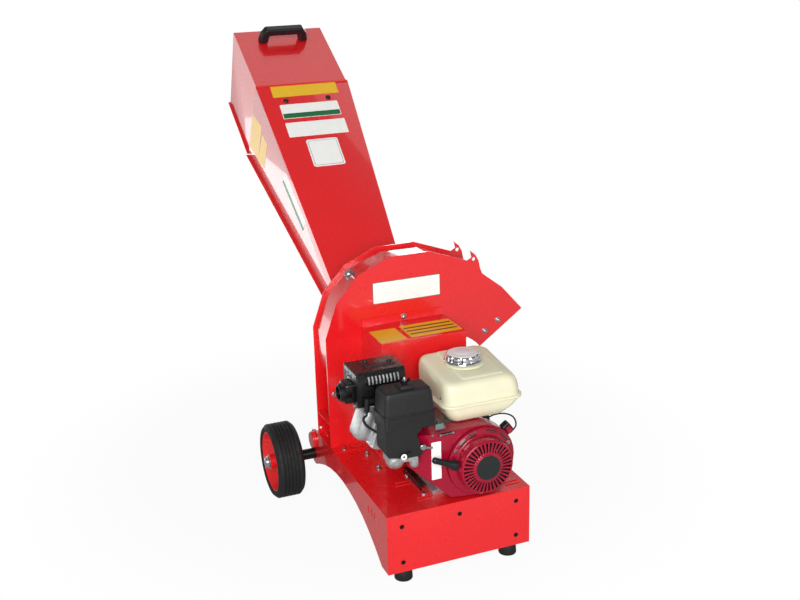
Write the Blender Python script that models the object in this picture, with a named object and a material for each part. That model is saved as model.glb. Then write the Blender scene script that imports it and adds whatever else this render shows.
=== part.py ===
"""Petrol garden shredder.

A folded sheet-steel tray on two wheels and two rubber feet carries a scroll housing between two
plates, a chute that feeds the cutter disc from behind, and a small engine that drives the disc
through a V-belt under a guard.

Metres, +Z up. While the parts are made, x is 0 in the middle of the tray, y is 0 at its front
panel and z is 0 on the ground. At the end the whole machine is moved so that the origin is the
middle of its outer box on the ground.
"""
import bpy
import bmesh
from math import acos, atan2, cos, degrees, pi, radians, sin
from mathutils import Matrix, Vector

# Fasteners
BOLT_HOLE = 0.0046      # radius, for 8 mm bolts

# Clearances
GAP = 0.0003            # between pieces that seat on each other
RUN = 0.0005            # between a turning piece and what it runs in

# Tray
TRAY_WIDTH = 0.430
TRAY_LENGTH = 0.583
TRAY_TOP = 0.211
TRAY_SHEET = 0.003
SKIRT_BOTTOM = 0.035
SKIRT_LEG = 0.050       # straight foot of the side skirt before its arch
ARCH_RADIUS = 0.510
ARCH_CENTRE_Y = 0.375
ARCH_TOP = 0.150
FOOT_RADIUS = 0.026
FOOT_X = 0.160
FOOT_Y = 0.029
FOOT_BOLT = 0.005

# Wheels and axle
WHEEL_RADIUS = 0.1175
WHEEL_WIDTH = 0.086
WHEEL_INNER_X = 0.276   # inner face of the tyre
RIM_RADIUS = 0.094
TYRE_RIBS = 4
TYRE_SHOULDER = 0.010
HUB_TUBE = 0.022
AXLE_END = WHEEL_INNER_X + WHEEL_WIDTH + 0.001
NUT_LENGTH = 0.0145
AXLE_Y = 0.642
AXLE_RADIUS = 0.010
SPACER_RADIUS = 0.017
BRACKET_SHEET = 0.006
BRACKET_EYE = 0.036     # radius of the side plate round the axle
CROSS_TUBE_RADIUS = 0.027
CROSS_TUBE_Y = 0.636
CROSS_TUBE_Z = 0.167
CROSS_TUBE_PROUD = 0.009

# Scroll housing
FRONT_Y = 0.457         # outer face of the front plate
BACK_Y = 0.580          # outer face of the back plate
PLATE = 0.004
BAND_SHEET = 0.003
BAND_INSET = 0.010      # the plates stand proud of the rim band by this much
ROTOR_Z = 0.500
FACETS = ((-0.215, 0.564), (-0.176, 0.671), (-0.105, 0.746), (-0.005, 0.788), (0.119, 0.788),
          (0.245, 0.742))
SPOUT_TIP = (0.429, 0.564)
SPOUT_HEEL = (0.284, 0.461)
HOOK_HOLE = (0.2655, 0.7445)
TIE_Z = 0.286           # folded tab that spaces the plates at the left
INFEED_HALF = 0.112     # half the width of the opening that the chute feeds through
INFEED_LOW = 0.528
INFEED_HIGH = 0.590

# Rotor
SHAFT_RADIUS = 0.015
DISC_RADIUS = 0.190
DISC_FRONT = 0.548
DISC_BACK = 0.560
KNIFE_THICK = 0.009
PADDLES = 4
PADDLE_SHEET = 0.006
HUB_RADIUS = 0.036
BEARING_FLANGE = 0.010
BEARING_RADIUS = 0.031

# Belt drive
GUARD_FRONT = 0.290
GUARD_LEFT = -0.103
GUARD_RIGHT = 0.1595
GUARD_TOP = 0.587
GUARD_SHEET = 0.003
PULLEY_FRONT = 0.2985
PULLEY_WIDTH = 0.030
DRIVEN_RADIUS = 0.064
DRIVE_RADIUS = 0.050
GROOVE_DEPTH = 0.013
BELT_TOP_WIDTH = 0.017
BELT_HEIGHT = 0.010
GROOVE_SLOPE = 0.33      # how much each side of the groove closes in for its depth
BELT_SUNK = 0.001
GROOVE_SIDE = 0.0006     # play beside the belt

# Chute
CHUTE_START = (BACK_Y + GAP + 0.0015, INFEED_HIGH)
CHUTE_TILT = radians(47.9)      # front wall, from the vertical
CHUTE_LENGTH = 0.911
CHUTE_BOTTOM_HALF = 0.114
CHUTE_TOP_HALF = 0.165
CHUTE_TOP_DEPTH = 0.307
CHUTE_RIM_TILT = radians(31.7)   # rim of the funnel, from the vertical
CHUTE_SHEET = 0.003
HOOD_TILT = radians(59.4)
HOOD_LENGTH = 0.314
HOOD_MOUTH = 0.290              # length of the mouth's side edge
HOOD_MOUTH_TILT = radians(25.1)
CHUTE_LIP = 0.009               # the rear walls stand out past the side walls by this much
HOOD_LAP = 0.040                # how far the hood reaches down into the funnel

# Engine
CRANK_X = 0.067
CRANK_Z = TRAY_TOP + 0.106
CRANK_RADIUS = 0.0125
PTO_RADIUS = 0.0099
CASE_FRONT = 0.062
CASE_BACK = 0.222
SHROUD_FRONT = 0.012
SHROUD_RADIUS = 0.104
SHROUD_TOP = CRANK_Z + SHROUD_RADIUS
SHROUD_SHEET = 0.003
WING_BEND = -0.082      # where the shroud's left side turns back
DOME_FRONT = -0.038
DOME_RADIUS = 0.078
DOME_CROWN = 0.003      # how far the middle of the dome stands proud of its slotted ring
RECOIL_RADIUS = 0.098
SLOT_COUNT = 36
SLOT_INNER = 0.045
SLOT_OUTER = 0.071
FLYWHEEL_VANES = 10
CYLINDER_LEAN = radians(21.0)
CYLINDER_Y = 0.155

SMALL = 10
MEDIUM = 20
LARGE = 32


def clear_scene():
    for old in list(bpy.data.objects):
        bpy.data.objects.remove(old, do_unlink=True)


def material(name, colour, roughness, metallic=0.0):
    made = bpy.data.materials.new(name)
    made.use_nodes = True
    shader = made.node_tree.nodes["Principled BSDF"]
    shader.inputs["Base Color"].default_value = (*colour, 1.0)
    shader.inputs["Roughness"].default_value = roughness
    shader.inputs["Metallic"].default_value = metallic
    return made


clear_scene()
ROOT = bpy.data.objects.new("shredder", None)
bpy.context.scene.collection.objects.link(ROOT)

RED_PAINT = material("red_powder_coat", (0.75, 0.02, 0.03), 0.35)
CRIMSON = material("crimson_paint", (0.50, 0.01, 0.04), 0.35)
CREAM = material("cream_paint", (0.83, 0.79, 0.62), 0.35)
BLACK_PLASTIC = material("black_plastic", (0.02, 0.02, 0.02), 0.45)
GREY_PLASTIC = material("charcoal_plastic", (0.05, 0.05, 0.05), 0.55)
BLACK_PAINT = material("black_heat_paint", (0.015, 0.015, 0.015), 0.5)
RUBBER = material("black_rubber", (0.02, 0.02, 0.02), 0.8)
ZINC = material("zinc_plate", (0.65, 0.65, 0.66), 0.35, 1.0)
CHROME = material("chrome_plate", (0.8, 0.8, 0.8), 0.1, 1.0)
ALLOY = material("cast_aluminium", (0.6, 0.6, 0.6), 0.5, 1.0)
STEEL = material("bright_steel", (0.45, 0.45, 0.46), 0.4, 1.0)


def finish(name, bm, look, pivot=(0.0, 0.0, 0.0), smooth=True):
    """Turn a bmesh into one named part with its origin at pivot."""
    bmesh.ops.recalc_face_normals(bm, faces=bm.faces)
    bmesh.ops.translate(bm, verts=bm.verts, vec=-Vector(pivot))
    mesh = bpy.data.meshes.new(name)
    bm.to_mesh(mesh)
    bm.free()
    part = bpy.data.objects.new(name, mesh)
    part.location = pivot
    part.parent = ROOT
    mesh.materials.append(look)
    if smooth:
        mesh.shade_smooth()
        mesh.set_sharp_from_angle(angle=radians(30))
    bpy.context.scene.collection.objects.link(part)
    return part


def combine(part, other, operation):
    """Boolean a part with a second bmesh, which is used up."""
    cutter = finish("cutter", other, RED_PAINT, smooth=False)
    cutter.hide_render = True
    cutter.display_type = "WIRE"
    step = part.modifiers.new(operation.lower(), "BOOLEAN")
    step.operation = operation
    step.solver = "EXACT"
    step.object = cutter
    bpy.context.view_layer.update()
    graph = bpy.context.evaluated_depsgraph_get()
    result = bpy.data.meshes.new_from_object(part.evaluated_get(graph))
    part.modifiers.clear()
    old = part.data
    part.data = result
    result.name = part.name
    bpy.data.meshes.remove(old)
    bpy.data.objects.remove(cutter, do_unlink=True)


def cut(part, other):
    combine(part, other, "DIFFERENCE")


def weld(part, other):
    combine(part, other, "UNION")


def thicken(part, thickness):
    """Give an open sheet its wall, on the side its normals point away from."""
    wall = part.modifiers.new("wall", "SOLIDIFY")
    wall.thickness = thickness
    wall.offset = -1.0
    wall.use_even_offset = True
    bpy.context.view_layer.update()
    graph = bpy.context.evaluated_depsgraph_get()
    result = bpy.data.meshes.new_from_object(part.evaluated_get(graph))
    part.modifiers.clear()
    part.data = result


def add_box(bm, low, high, bevel=0.0, segments=2, edges=None):
    size = Vector(high) - Vector(low)
    middle = (Vector(high) + Vector(low)) / 2
    made = bmesh.ops.create_cube(bm, size=1.0)["verts"]
    bmesh.ops.scale(bm, vec=size, verts=made)
    bmesh.ops.translate(bm, vec=middle, verts=made)
    if bevel:
        rims = {edge for vert in made for edge in vert.link_edges}
        if edges == "z":
            rims = {e for e in rims if abs((e.verts[0].co - e.verts[1].co).z) > 1e-6}
        if edges == "y":
            rims = {e for e in rims if abs((e.verts[0].co - e.verts[1].co).y) > 1e-6}
        bmesh.ops.bevel(bm, geom=list(rims), offset=bevel, segments=segments, profile=0.5,
                        affect="EDGES", material=-1)


def axis_point(axis, a, b, along):
    """A point from two cross-wise values and one along the axis."""
    if axis == "x":
        return Vector((along, a, b))
    if axis == "y":
        return Vector((a, along, b))
    return Vector((a, b, along))


def add_prism(bm, outline, axis, start, end):
    """Extrude a flat outline along x, y or z."""
    depth = axis_point(axis, 0.0, 0.0, end - start)
    add_slab(bm, [axis_point(axis, a, b, start) for a, b in outline], depth)


def add_slab(bm, corners, depth):
    """Extrude a flat polygon of points by a vector."""
    base = bm.faces.new([bm.verts.new(corner) for corner in corners])
    made = bmesh.ops.extrude_face_region(bm, geom=[base])["geom"]
    raised = [item for item in made if isinstance(item, bmesh.types.BMVert)]
    bmesh.ops.translate(bm, vec=depth, verts=raised)


def add_turned(bm, profile, centre, direction, steps=MEDIUM, ring=False, half_step=False):
    """Spin a profile of (radius, distance along the axis) about an axis through centre."""
    along = Vector(direction).normalized()
    across = along.orthogonal().normalized()
    if abs(along.y) > 0.99 or abs(along.x) > 0.99:
        across = Vector((0.0, 0.0, -1.0))
    if half_step:
        across = Matrix.Rotation(pi / steps, 3, along) @ across
    middle = Vector(centre)
    verts = [bm.verts.new(middle + across * r + along * d) for r, d in profile]
    pairs = list(zip(verts, verts[1:]))
    if ring:
        pairs.append((verts[-1], verts[0]))
    edges = [bm.edges.new(pair) for pair in pairs]
    bmesh.ops.spin(bm, geom=verts + edges, cent=middle, axis=along, dvec=(0, 0, 0),
                   angle=2 * pi, steps=steps, use_merge=True, use_duplicate=False)
    bmesh.ops.remove_doubles(bm, verts=bm.verts, dist=1e-6)


def add_rod(bm, start, end, radius, steps=SMALL):
    """A plain round bar between two points."""
    a = Vector(start)
    run = Vector(end) - a
    add_turned(bm, ((0, 0), (radius, 0), (radius, run.length), (0, run.length)), a, run, steps)


def arc(centre, radius, start, end, steps):
    """Points on an arc, both ends included, angles in degrees."""
    return [(centre[0] + radius * cos(radians(start + (end - start) * i / steps)),
             centre[1] + radius * sin(radians(start + (end - start) * i / steps)))
            for i in range(steps + 1)]


def curve_through(first, middle, last, steps):
    """A smooth bend from first to last that passes through middle."""
    control = (2 * middle[0] - (first[0] + last[0]) / 2, 2 * middle[1] - (first[1] + last[1]) / 2)
    points = []
    for i in range(steps + 1):
        t = i / steps
        points.append(tuple((1 - t) ** 2 * first[k] + 2 * t * (1 - t) * control[k] + t * t * last[k]
                            for k in (0, 1)))
    return points


def shifted(points, distance):
    """An open line of points moved sideways to its right by distance, with mitred corners."""
    result = []
    for i, point in enumerate(points):
        here = Vector(point)
        before = (here - Vector(points[i - 1])).normalized() if i else None
        after = (Vector(points[i + 1]) - here).normalized() if i < len(points) - 1 else None
        before = before or after
        after = after or before
        side_a = Vector((before.y, -before.x))
        side_b = Vector((after.y, -after.x))
        mitre = (side_a + side_b).normalized()
        result.append(tuple(here + mitre * distance / mitre.dot(side_a)))
    return result


def add_strip(bm, line, axis, start, end):
    """Open sheet swept along an axis from a line of points."""
    rows = [(bm.verts.new(axis_point(axis, a, b, start)), bm.verts.new(axis_point(axis, a, b, end)))
            for a, b in line]
    for (a, b), (c, d) in zip(rows, rows[1:]):
        bm.faces.new((a, b, d, c))


def drill(part, places, direction, radius, depth, steps=SMALL):
    """Round holes through a part, centred on each place."""
    tool = bmesh.new()
    way = Vector(direction).normalized()
    for place in places:
        add_rod(tool, Vector(place) - way * depth, Vector(place) + way * depth, radius, steps)
    cut(part, tool)


HALF = TRAY_WIDTH / 2


# Tray and feet

DECK_SLOTS = ((-0.106, 0.150), (-0.100, 0.168), (-0.084, 0.047), (-0.078, 0.064),
              (0.176, 0.030), (0.181, 0.046))
PANEL_HOLES = ((-0.172, 0.174), (-0.171, 0.065), (-0.001, 0.174), (0.172, 0.174), (0.172, 0.067))
SKIRT_SLOTS = (0.140, 0.118, 0.096)
STUD_NUTS = ((-0.128, 0.380), (-0.130, 0.280))
FLANGE_BOLTS = ((-0.180, 0.436), (0.190, 0.436))


def skirt_outline():
    """Side view of the skirt, as (y, z)."""
    centre_z = ARCH_TOP - ARCH_RADIUS
    first = 90 + degrees_between(SKIRT_LEG - ARCH_CENTRE_Y)
    last = 90 + degrees_between(TRAY_LENGTH - ARCH_CENTRE_Y)
    arch = arc((ARCH_CENTRE_Y, centre_z), ARCH_RADIUS, first, last, 10)
    return [(0.0, TRAY_TOP), (0.0, SKIRT_BOTTOM), (SKIRT_LEG, SKIRT_BOTTOM)] + arch[1:] + [
        (TRAY_LENGTH, TRAY_TOP)]


def degrees_between(offset):
    """Angle from the vertical of a point on the arch at this distance from its centre."""
    return -degrees(atan2(offset, (ARCH_RADIUS ** 2 - offset ** 2) ** 0.5))


def build_tray():
    bm = bmesh.new()
    sides = {}
    for side in (-HALF, HALF):
        sides[side] = [bm.verts.new((side, y, z)) for y, z in skirt_outline()]
        bm.faces.new(sides[side] if side > 0 else reversed(sides[side]))
    left, right = sides[-HALF], sides[HALF]
    bm.faces.new((left[0], right[0], right[-1], left[-1]))
    bm.faces.new((left[0], left[1], right[1], right[0]))
    bm.faces.new((left[1], left[2], right[2], right[1]))
    tray = finish("base_tray", bm, RED_PAINT, smooth=False)
    thicken(tray, TRAY_SHEET)
    drill(tray, [(x, 0.0, z) for x, z in PANEL_HOLES], (0, 1, 0), 0.005, 0.02, 8)
    drill(tray, [(side * FOOT_X, FOOT_Y, SKIRT_BOTTOM) for side in (-1, 1)], (0, 0, 1), FOOT_BOLT + 0.0008,
          0.02, 8)
    drill(tray, [(x, y, TRAY_TOP) for x, y in FLANGE_BOLTS], (0, 0, 1), BOLT_HOLE, 0.02, 8)
    slots = bmesh.new()
    for x, y in DECK_SLOTS:
        add_box(slots, (x - 0.020, y - 0.002, TRAY_TOP - 0.02), (x + 0.020, y + 0.002, TRAY_TOP + 0.02))
    for y in SKIRT_SLOTS:
        for side in (-HALF, HALF):
            add_box(slots, (side - 0.02, y - 0.003, 0.158), (side + 0.02, y + 0.003, 0.178))
    cut(tray, slots)


def build_feet():
    top = SKIRT_BOTTOM - GAP
    for name, side in (("foot_left", -1), ("foot_right", 1)):
        bm = bmesh.new()
        place = (side * FOOT_X, FOOT_Y, 0)
        add_turned(bm, ((0, 0), (FOOT_RADIUS, 0), (FOOT_RADIUS - 0.002, top), (FOOT_BOLT, top),
                        (FOOT_BOLT, top + 0.012), (0, top + 0.012)), place, (0, 0, 1), MEDIUM)
        finish(name, bm, RUBBER, place)


# Rear cross tube, brackets, axle and wheels

def hull_outline(circles):
    """Outline round a set of (y, z, radius) circles, as the convex hull of their points."""
    cloud = []
    for y, z, radius in circles:
        cloud += arc((y, z), radius, 0, 360, 16)[:-1] if radius else [(y, z)]
    cloud = sorted(set(cloud))

    def half(points):
        chain = []
        for p in points:
            while len(chain) > 1 and ((chain[-1][0] - chain[-2][0]) * (p[1] - chain[-2][1])
                                      - (chain[-1][1] - chain[-2][1]) * (p[0] - chain[-2][0])) <= 1e-12:
                chain.pop()
            chain.append(p)
        return chain[:-1]
    return half(cloud) + half(cloud[::-1])


def build_axle_frame():
    """Two side plates welded to the rear cross tube; they carry the axle."""
    bm = bmesh.new()
    end = HALF + CROSS_TUBE_PROUD
    edge = 0.002
    add_turned(bm, ((0, -end), (CROSS_TUBE_RADIUS - edge, -end), (CROSS_TUBE_RADIUS, -end + edge),
                    (CROSS_TUBE_RADIUS, end - edge), (CROSS_TUBE_RADIUS - edge, end), (0, end)),
               (0, CROSS_TUBE_Y, CROSS_TUBE_Z), (1, 0, 0), MEDIUM)
    frame = finish("axle_frame", bm, RED_PAINT)
    outline = hull_outline(((AXLE_Y, WHEEL_RADIUS, BRACKET_EYE),
                            (CROSS_TUBE_Y, CROSS_TUBE_Z, CROSS_TUBE_RADIUS + 0.007),
                            (0.540, 0.200, 0), (0.540, 0.125, 0)))
    outer = HALF - TRAY_SHEET - GAP
    plates = bmesh.new()
    for side in (-1, 1):
        add_prism(plates, outline, "x", side * (outer - BRACKET_SHEET), side * outer)
    weld(frame, plates)
    drill(frame, [(0, AXLE_Y, WHEEL_RADIUS)], (1, 0, 0), AXLE_RADIUS + GAP, HALF, MEDIUM)


def build_axle():
    """Through axle with a collar that holds each wheel away from the side plates."""
    bm = bmesh.new()
    end = AXLE_END
    inner = HALF - TRAY_SHEET
    outer = WHEEL_INNER_X - 0.001
    half = [(AXLE_RADIUS, inner), (SPACER_RADIUS, inner), (SPACER_RADIUS, outer), (AXLE_RADIUS, outer),
            (AXLE_RADIUS, end), (0, end)]
    mirrored = [(radius, -along) for radius, along in reversed(half)]
    add_turned(bm, mirrored + half, (0, AXLE_Y, WHEEL_RADIUS), (1, 0, 0), MEDIUM)
    finish("axle", bm, STEEL)
    start = end + GAP
    for name, side in (("hub_nut_left", -1), ("hub_nut_right", 1)):
        bm = bmesh.new()
        add_turned(bm, ((0, start), (0.019, start), (0.019, start + 0.004), (0.015, start + 0.010),
                        (0.008, start + NUT_LENGTH - 0.001), (0, start + NUT_LENGTH)),
                   (0, AXLE_Y, WHEEL_RADIUS), (side, 0, 0), MEDIUM)
        finish(name, bm, CHROME)


def build_wheel(name, side):
    """Ribbed rubber tyre on a pressed steel rim; out is the wheel's outer side."""
    pivot = (side * (WHEEL_INNER_X + WHEEL_WIDTH / 2), AXLE_Y, WHEEL_RADIUS)
    half = WHEEL_WIDTH / 2
    out = (side, 0, 0)
    tread = WHEEL_RADIUS / cos(pi / LARGE)
    seat = RIM_RADIUS + GAP + 0.0004
    outer = [(seat, -half), (tread - 0.010, -half), (tread, -half + TYRE_SHOULDER)]
    pitch = (WHEEL_WIDTH - 2 * TYRE_SHOULDER) / TYRE_RIBS
    for i in range(1, TYRE_RIBS):
        middle = -half + TYRE_SHOULDER + pitch * i
        outer += [(tread, middle - 0.0030), (tread - 0.0045, middle), (tread, middle + 0.0030)]
    outer += [(tread, half - TYRE_SHOULDER), (tread - 0.010, half), (seat, half)]
    bm = bmesh.new()
    add_turned(bm, outer, pivot, out, LARGE, ring=True, half_step=True)
    finish("tyre_" + name, bm, RUBBER, pivot)

    bore = AXLE_RADIUS + RUN
    lip = half - 0.004
    well = RIM_RADIUS - 0.003
    rim = [(bore, -half), (HUB_TUBE, -half), (HUB_TUBE, -0.010), (RIM_RADIUS - 0.016, -0.005),
           (well, -0.018), (well, -lip), (RIM_RADIUS, -lip), (RIM_RADIUS, lip), (well, lip),
           (well, 0.014), (RIM_RADIUS - 0.016, 0.000), (HUB_TUBE, 0.006), (HUB_TUBE, half),
           (bore, half)]
    bm = bmesh.new()
    add_turned(bm, rim, pivot, out, MEDIUM, ring=True)
    finish("rim_" + name, bm, RED_PAINT, pivot)


# Scroll housing

def plate_outline():
    """Both plates share this outline, as (x, z)."""
    hook = curve_through(FACETS[-1], (0.259, 0.750), (0.254, 0.772), 2)
    horn = curve_through((0.254, 0.772), (0.277, 0.748), (0.286, 0.714), 3)
    heel = curve_through((0.286, 0.714), (0.293, 0.696), (0.309, 0.683), 2)
    notch = curve_through(SPOUT_HEEL, (0.266, 0.480), (0.241, 0.498), 3)
    return ([(-HALF, TRAY_TOP + GAP)] + list(FACETS[:-1]) + hook + horn[1:] + heel[1:]
            + [(0.360, 0.643), SPOUT_TIP] + notch + [(HALF, 0.498), (HALF, TRAY_TOP + GAP)])


SPOUT_BOLTS = ((0.346, 0.538), (0.301, 0.509))
PLATE_BOLTS = ((-0.196, 0.3875), (0.196, 0.240))
GUARD_BOLT = (0.031, 0.599)


def build_plates():
    deck = TRAY_TOP + GAP
    bm = bmesh.new()
    add_prism(bm, plate_outline(), "y", FRONT_Y, FRONT_Y + PLATE)
    front = finish("front_plate", bm, RED_PAINT, smooth=False)
    foot = bmesh.new()
    add_box(foot, (-HALF, FRONT_Y - 0.038, deck), (HALF, FRONT_Y + PLATE / 2, deck + PLATE))
    weld(front, foot)
    tab = bmesh.new()
    add_box(tab, (-HALF, FRONT_Y + PLATE / 2, TIE_Z), (-HALF + 0.022, BACK_Y - PLATE - GAP,
                                                       TIE_Z + PLATE))
    weld(front, tab)
    drill(front, [(HOOK_HOLE[0], FRONT_Y, HOOK_HOLE[1])], (0, 1, 0), 0.006, 0.02)
    drill(front, [(x, FRONT_Y, z) for x, z in SPOUT_BOLTS + PLATE_BOLTS + (GUARD_BOLT,)], (0, 1, 0),
          BOLT_HOLE, 0.02, 8)
    drill(front, [(0, FRONT_Y, ROTOR_Z)], (0, 1, 0), 0.031, 0.02, MEDIUM)
    drill(front, [(x, y, deck) for x, y in FLANGE_BOLTS], (0, 0, 1), BOLT_HOLE, 0.02, 8)

    bm = bmesh.new()
    add_prism(bm, plate_outline(), "y", BACK_Y - PLATE, BACK_Y)
    back = finish("back_plate", bm, RED_PAINT, smooth=False)
    foot = bmesh.new()
    add_box(foot, (-HALF + 0.02, BACK_Y - 0.036, deck), (HALF - 0.02, BACK_Y - PLATE / 2, deck + PLATE))
    weld(back, foot)
    drill(back, [(HOOK_HOLE[0], BACK_Y, HOOK_HOLE[1])], (0, 1, 0), 0.006, 0.02)
    drill(back, [(x, BACK_Y, z) for x, z in SPOUT_BOLTS], (0, 1, 0), BOLT_HOLE, 0.02, 8)
    drill(back, [(x, BACK_Y, z) for x, z in CHUTE_BOLTS], (0, 1, 0), BOLT_HOLE, 0.02, 8)
    drill(back, [(side * (HALF - 0.008), BACK_Y, 0.232) for side in (-1, 1)], (0, 1, 0), 0.0038,
          0.02, 12)
    window = bmesh.new()
    add_box(window, (-INFEED_HALF, BACK_Y - 0.02, INFEED_LOW), (INFEED_HALF, BACK_Y + 0.02, INFEED_HIGH))
    cut(back, window)


def band_line():
    """Outer face of the rim band: half round under the rotor, then parallel to the facets."""
    radius = HALF - BAND_INSET
    lower = arc((0.0, ROTOR_Z), radius, 0, -180, 16)
    inner = shifted([(-HALF, ROTOR_Z)] + list(FACETS), BAND_INSET)
    return lower + inner[1:]


def build_rim_band():
    bm = bmesh.new()
    add_strip(bm, band_line(), "y", FRONT_Y + PLATE + GAP, BACK_Y - PLATE - GAP)
    band = finish_sheet("rim_band", bm, RED_PAINT, towards=(0.0, 0.5, ROTOR_Z))
    thicken(band, BAND_SHEET)
    hole = bmesh.new()
    middle, out = clamp_seat()
    add_rod(hole, middle - out * 0.02, middle + out * 0.02, 0.0068)
    cut(band, hole)


def finish_sheet(name, bm, look, towards):
    """Finish an open sheet with its normals pointing away from a point."""
    bm.normal_update()
    centre = Vector(towards)
    flipped = [f for f in bm.faces if (f.calc_center_median() - centre).dot(f.normal) < 0]
    bmesh.ops.reverse_faces(bm, faces=flipped)
    mesh = bpy.data.meshes.new(name)
    bm.to_mesh(mesh)
    bm.free()
    part = bpy.data.objects.new(name, mesh)
    part.parent = ROOT
    mesh.materials.append(look)
    bpy.context.scene.collection.objects.link(part)
    return part


def clamp_seat():
    """Middle of the band's second slanted facet near its left end, and its outward direction."""
    a, b = (Vector(p) for p in shifted(list(FACETS[1:4]), BAND_INSET)[0:2])
    spot = a.lerp(b, 0.87)
    side = (b - a).normalized()
    return Vector((spot.x, (FRONT_Y + BACK_Y) / 2, spot.y)), Vector((-side.y, 0.0, side.x))


def build_clamp_bolt():
    middle, out = clamp_seat()
    start = middle + out * GAP
    bm = bmesh.new()
    add_turned(bm, ((0, -0.016), (0.006, -0.016), (0.006, 0), (0.017, 0), (0.017, 0.0025), (0.013, 0.003),
                    (0.013, 0.013), (0.011, 0.016), (0, 0.016)), start, out, 12)
    finish("rim_clamp_bolt", bm, ZINC)


FLOOR_LINE = ((0.209, 0.503), (0.263, 0.503), (0.401, 0.590))


def build_discharge_floor():
    front = FRONT_Y + PLATE + GAP
    back = BACK_Y - PLATE - GAP
    bm = bmesh.new()
    add_strip(bm, FLOOR_LINE, "y", front, back)
    floor = finish_sheet("discharge_floor", bm, RED_PAINT, towards=(0.30, 0.5, 0.2))
    thicken(floor, BAND_SHEET)
    ears = bmesh.new()
    a = Vector(FLOOR_LINE[1])
    b = Vector(FLOOR_LINE[2])
    down = Vector((b.y - a.y, a.x - b.x)).normalized()
    near, far = a.lerp(b, 0.12), a.lerp(b, 0.86)
    sunk = BAND_SHEET / 2
    outline = [tuple(near + down * sunk), tuple(far + down * sunk), tuple(far + down * 0.024),
               tuple(near + down * 0.024)]
    add_prism(ears, outline, "y", front, front + BAND_SHEET)
    add_prism(ears, outline, "y", back - BAND_SHEET, back)
    weld(floor, ears)
    drill(floor, [(x, (front + back) / 2, z) for x, z in SPOUT_BOLTS], (0, 1, 0), BOLT_HOLE, 0.1, 8)


# Rotor and bearings

def build_bearing_housing():
    back = FRONT_Y - GAP
    bm = bmesh.new()
    bore = BEARING_RADIUS + GAP
    profile = [(bore, back), (bore, back - 0.085), (0.040, back - 0.085), (0.042, back - 0.082),
               (0.042, back - 0.016), (0.046, back - BEARING_FLANGE), (0.066, back - BEARING_FLANGE),
               (0.066, back)]
    add_turned(bm, profile, (0, 0, ROTOR_Z), (0, 1, 0), MEDIUM, ring=True)
    finish("bearing_housing", bm, ALLOY)
    for name, start in (("bearing_front", back - 0.082), ("bearing_rear", back - 0.018)):
        bm = bmesh.new()
        add_turned(bm, ((SHAFT_RADIUS + GAP, start), (BEARING_RADIUS, start),
                        (BEARING_RADIUS, start + 0.016), (SHAFT_RADIUS + GAP, start + 0.016)),
                   (0, 0, ROTOR_Z), (0, 1, 0), MEDIUM, ring=True)
        finish(name, bm, STEEL)


def build_rotor():
    pivot = (0.0, DISC_FRONT, ROTOR_Z)
    centre = (0.0, 0.0, ROTOR_Z)
    way = (0, 1, 0)
    bm = bmesh.new()
    add_turned(bm, ((0, PULLEY_FRONT), (SHAFT_RADIUS - 0.001, PULLEY_FRONT),
                    (SHAFT_RADIUS, PULLEY_FRONT + 0.001), (SHAFT_RADIUS, DISC_BACK), (0, DISC_BACK)),
               centre, way, MEDIUM)
    finish("rotor_shaft", bm, STEEL, pivot)

    bore = SHAFT_RADIUS + GAP
    hub_front = FRONT_Y + PLATE + 0.012
    bm = bmesh.new()
    add_turned(bm, ((bore, hub_front), (HUB_RADIUS, hub_front), (HUB_RADIUS, DISC_FRONT),
                    (DISC_RADIUS, DISC_FRONT), (DISC_RADIUS, DISC_BACK), (bore, DISC_BACK)),
               centre, way, LARGE, ring=True)
    disc = finish("cutter_disc", bm, STEEL, pivot)
    windows = bmesh.new()
    for side in (-1, 1):
        add_box(windows, (side * 0.066, DISC_FRONT - 0.01, ROTOR_Z - side * 0.016),
                (side * 0.172, DISC_BACK + 0.01, ROTOR_Z - side * 0.002))
    cut(disc, windows)

    start = DISC_BACK + GAP
    for name, side in (("knife_a", 1), ("knife_b", -1)):
        edge = ROTOR_Z - side * 0.003
        outline = [(start, edge), (start + KNIFE_THICK, edge + side * 0.009),
                   (start + KNIFE_THICK, edge + side * 0.055), (start, edge + side * 0.055)]
        bm = bmesh.new()
        add_prism(bm, outline, "x", side * 0.068, side * 0.170)
        finish(name, bm, STEEL, pivot, smooth=False)

    paddles = bmesh.new()
    sunk = DISC_FRONT + 0.001
    for i in range(PADDLES):
        turn = radians(45) + 2 * pi * i / PADDLES
        out = Vector((cos(turn), 0, sin(turn)))
        side = Vector((-out.z, 0, out.x)) * PADDLE_SHEET / 2
        corners = []
        inner = HUB_RADIUS - 0.002
        outer = DISC_RADIUS - 0.003
        for radius, y in ((inner, sunk), (outer, sunk), (outer, hub_front + 0.010),
                          (inner, hub_front + 0.030)):
            spot = Vector(centre) + out * radius
            corners.append(Vector((spot.x, y, spot.z)))
        add_slab(paddles, [corner - side for corner in corners], side * 2)
    weld(disc, paddles)


def build_counter_knife():
    bm = bmesh.new()
    back = BACK_Y - PLATE - GAP
    add_box(bm, (-INFEED_HALF, back - 0.004, INFEED_LOW - 0.030), (INFEED_HALF, back, INFEED_LOW))
    finish("counter_knife", bm, STEEL, smooth=False)


# Belt drive

def pulley_profile(radius, bore):
    """Closed profile of a V-groove pulley, distances measured from its front face."""
    middle = PULLEY_WIDTH / 2
    top = BELT_TOP_WIDTH / 2 + GROOVE_SIDE
    bottom = top - GROOVE_DEPTH * GROOVE_SLOPE
    return [(bore, 0), (radius, 0), (radius, middle - top), (radius - GROOVE_DEPTH, middle - bottom),
            (radius - GROOVE_DEPTH, middle + bottom), (radius, middle + top), (radius, PULLEY_WIDTH),
            (bore, PULLEY_WIDTH)]


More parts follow.
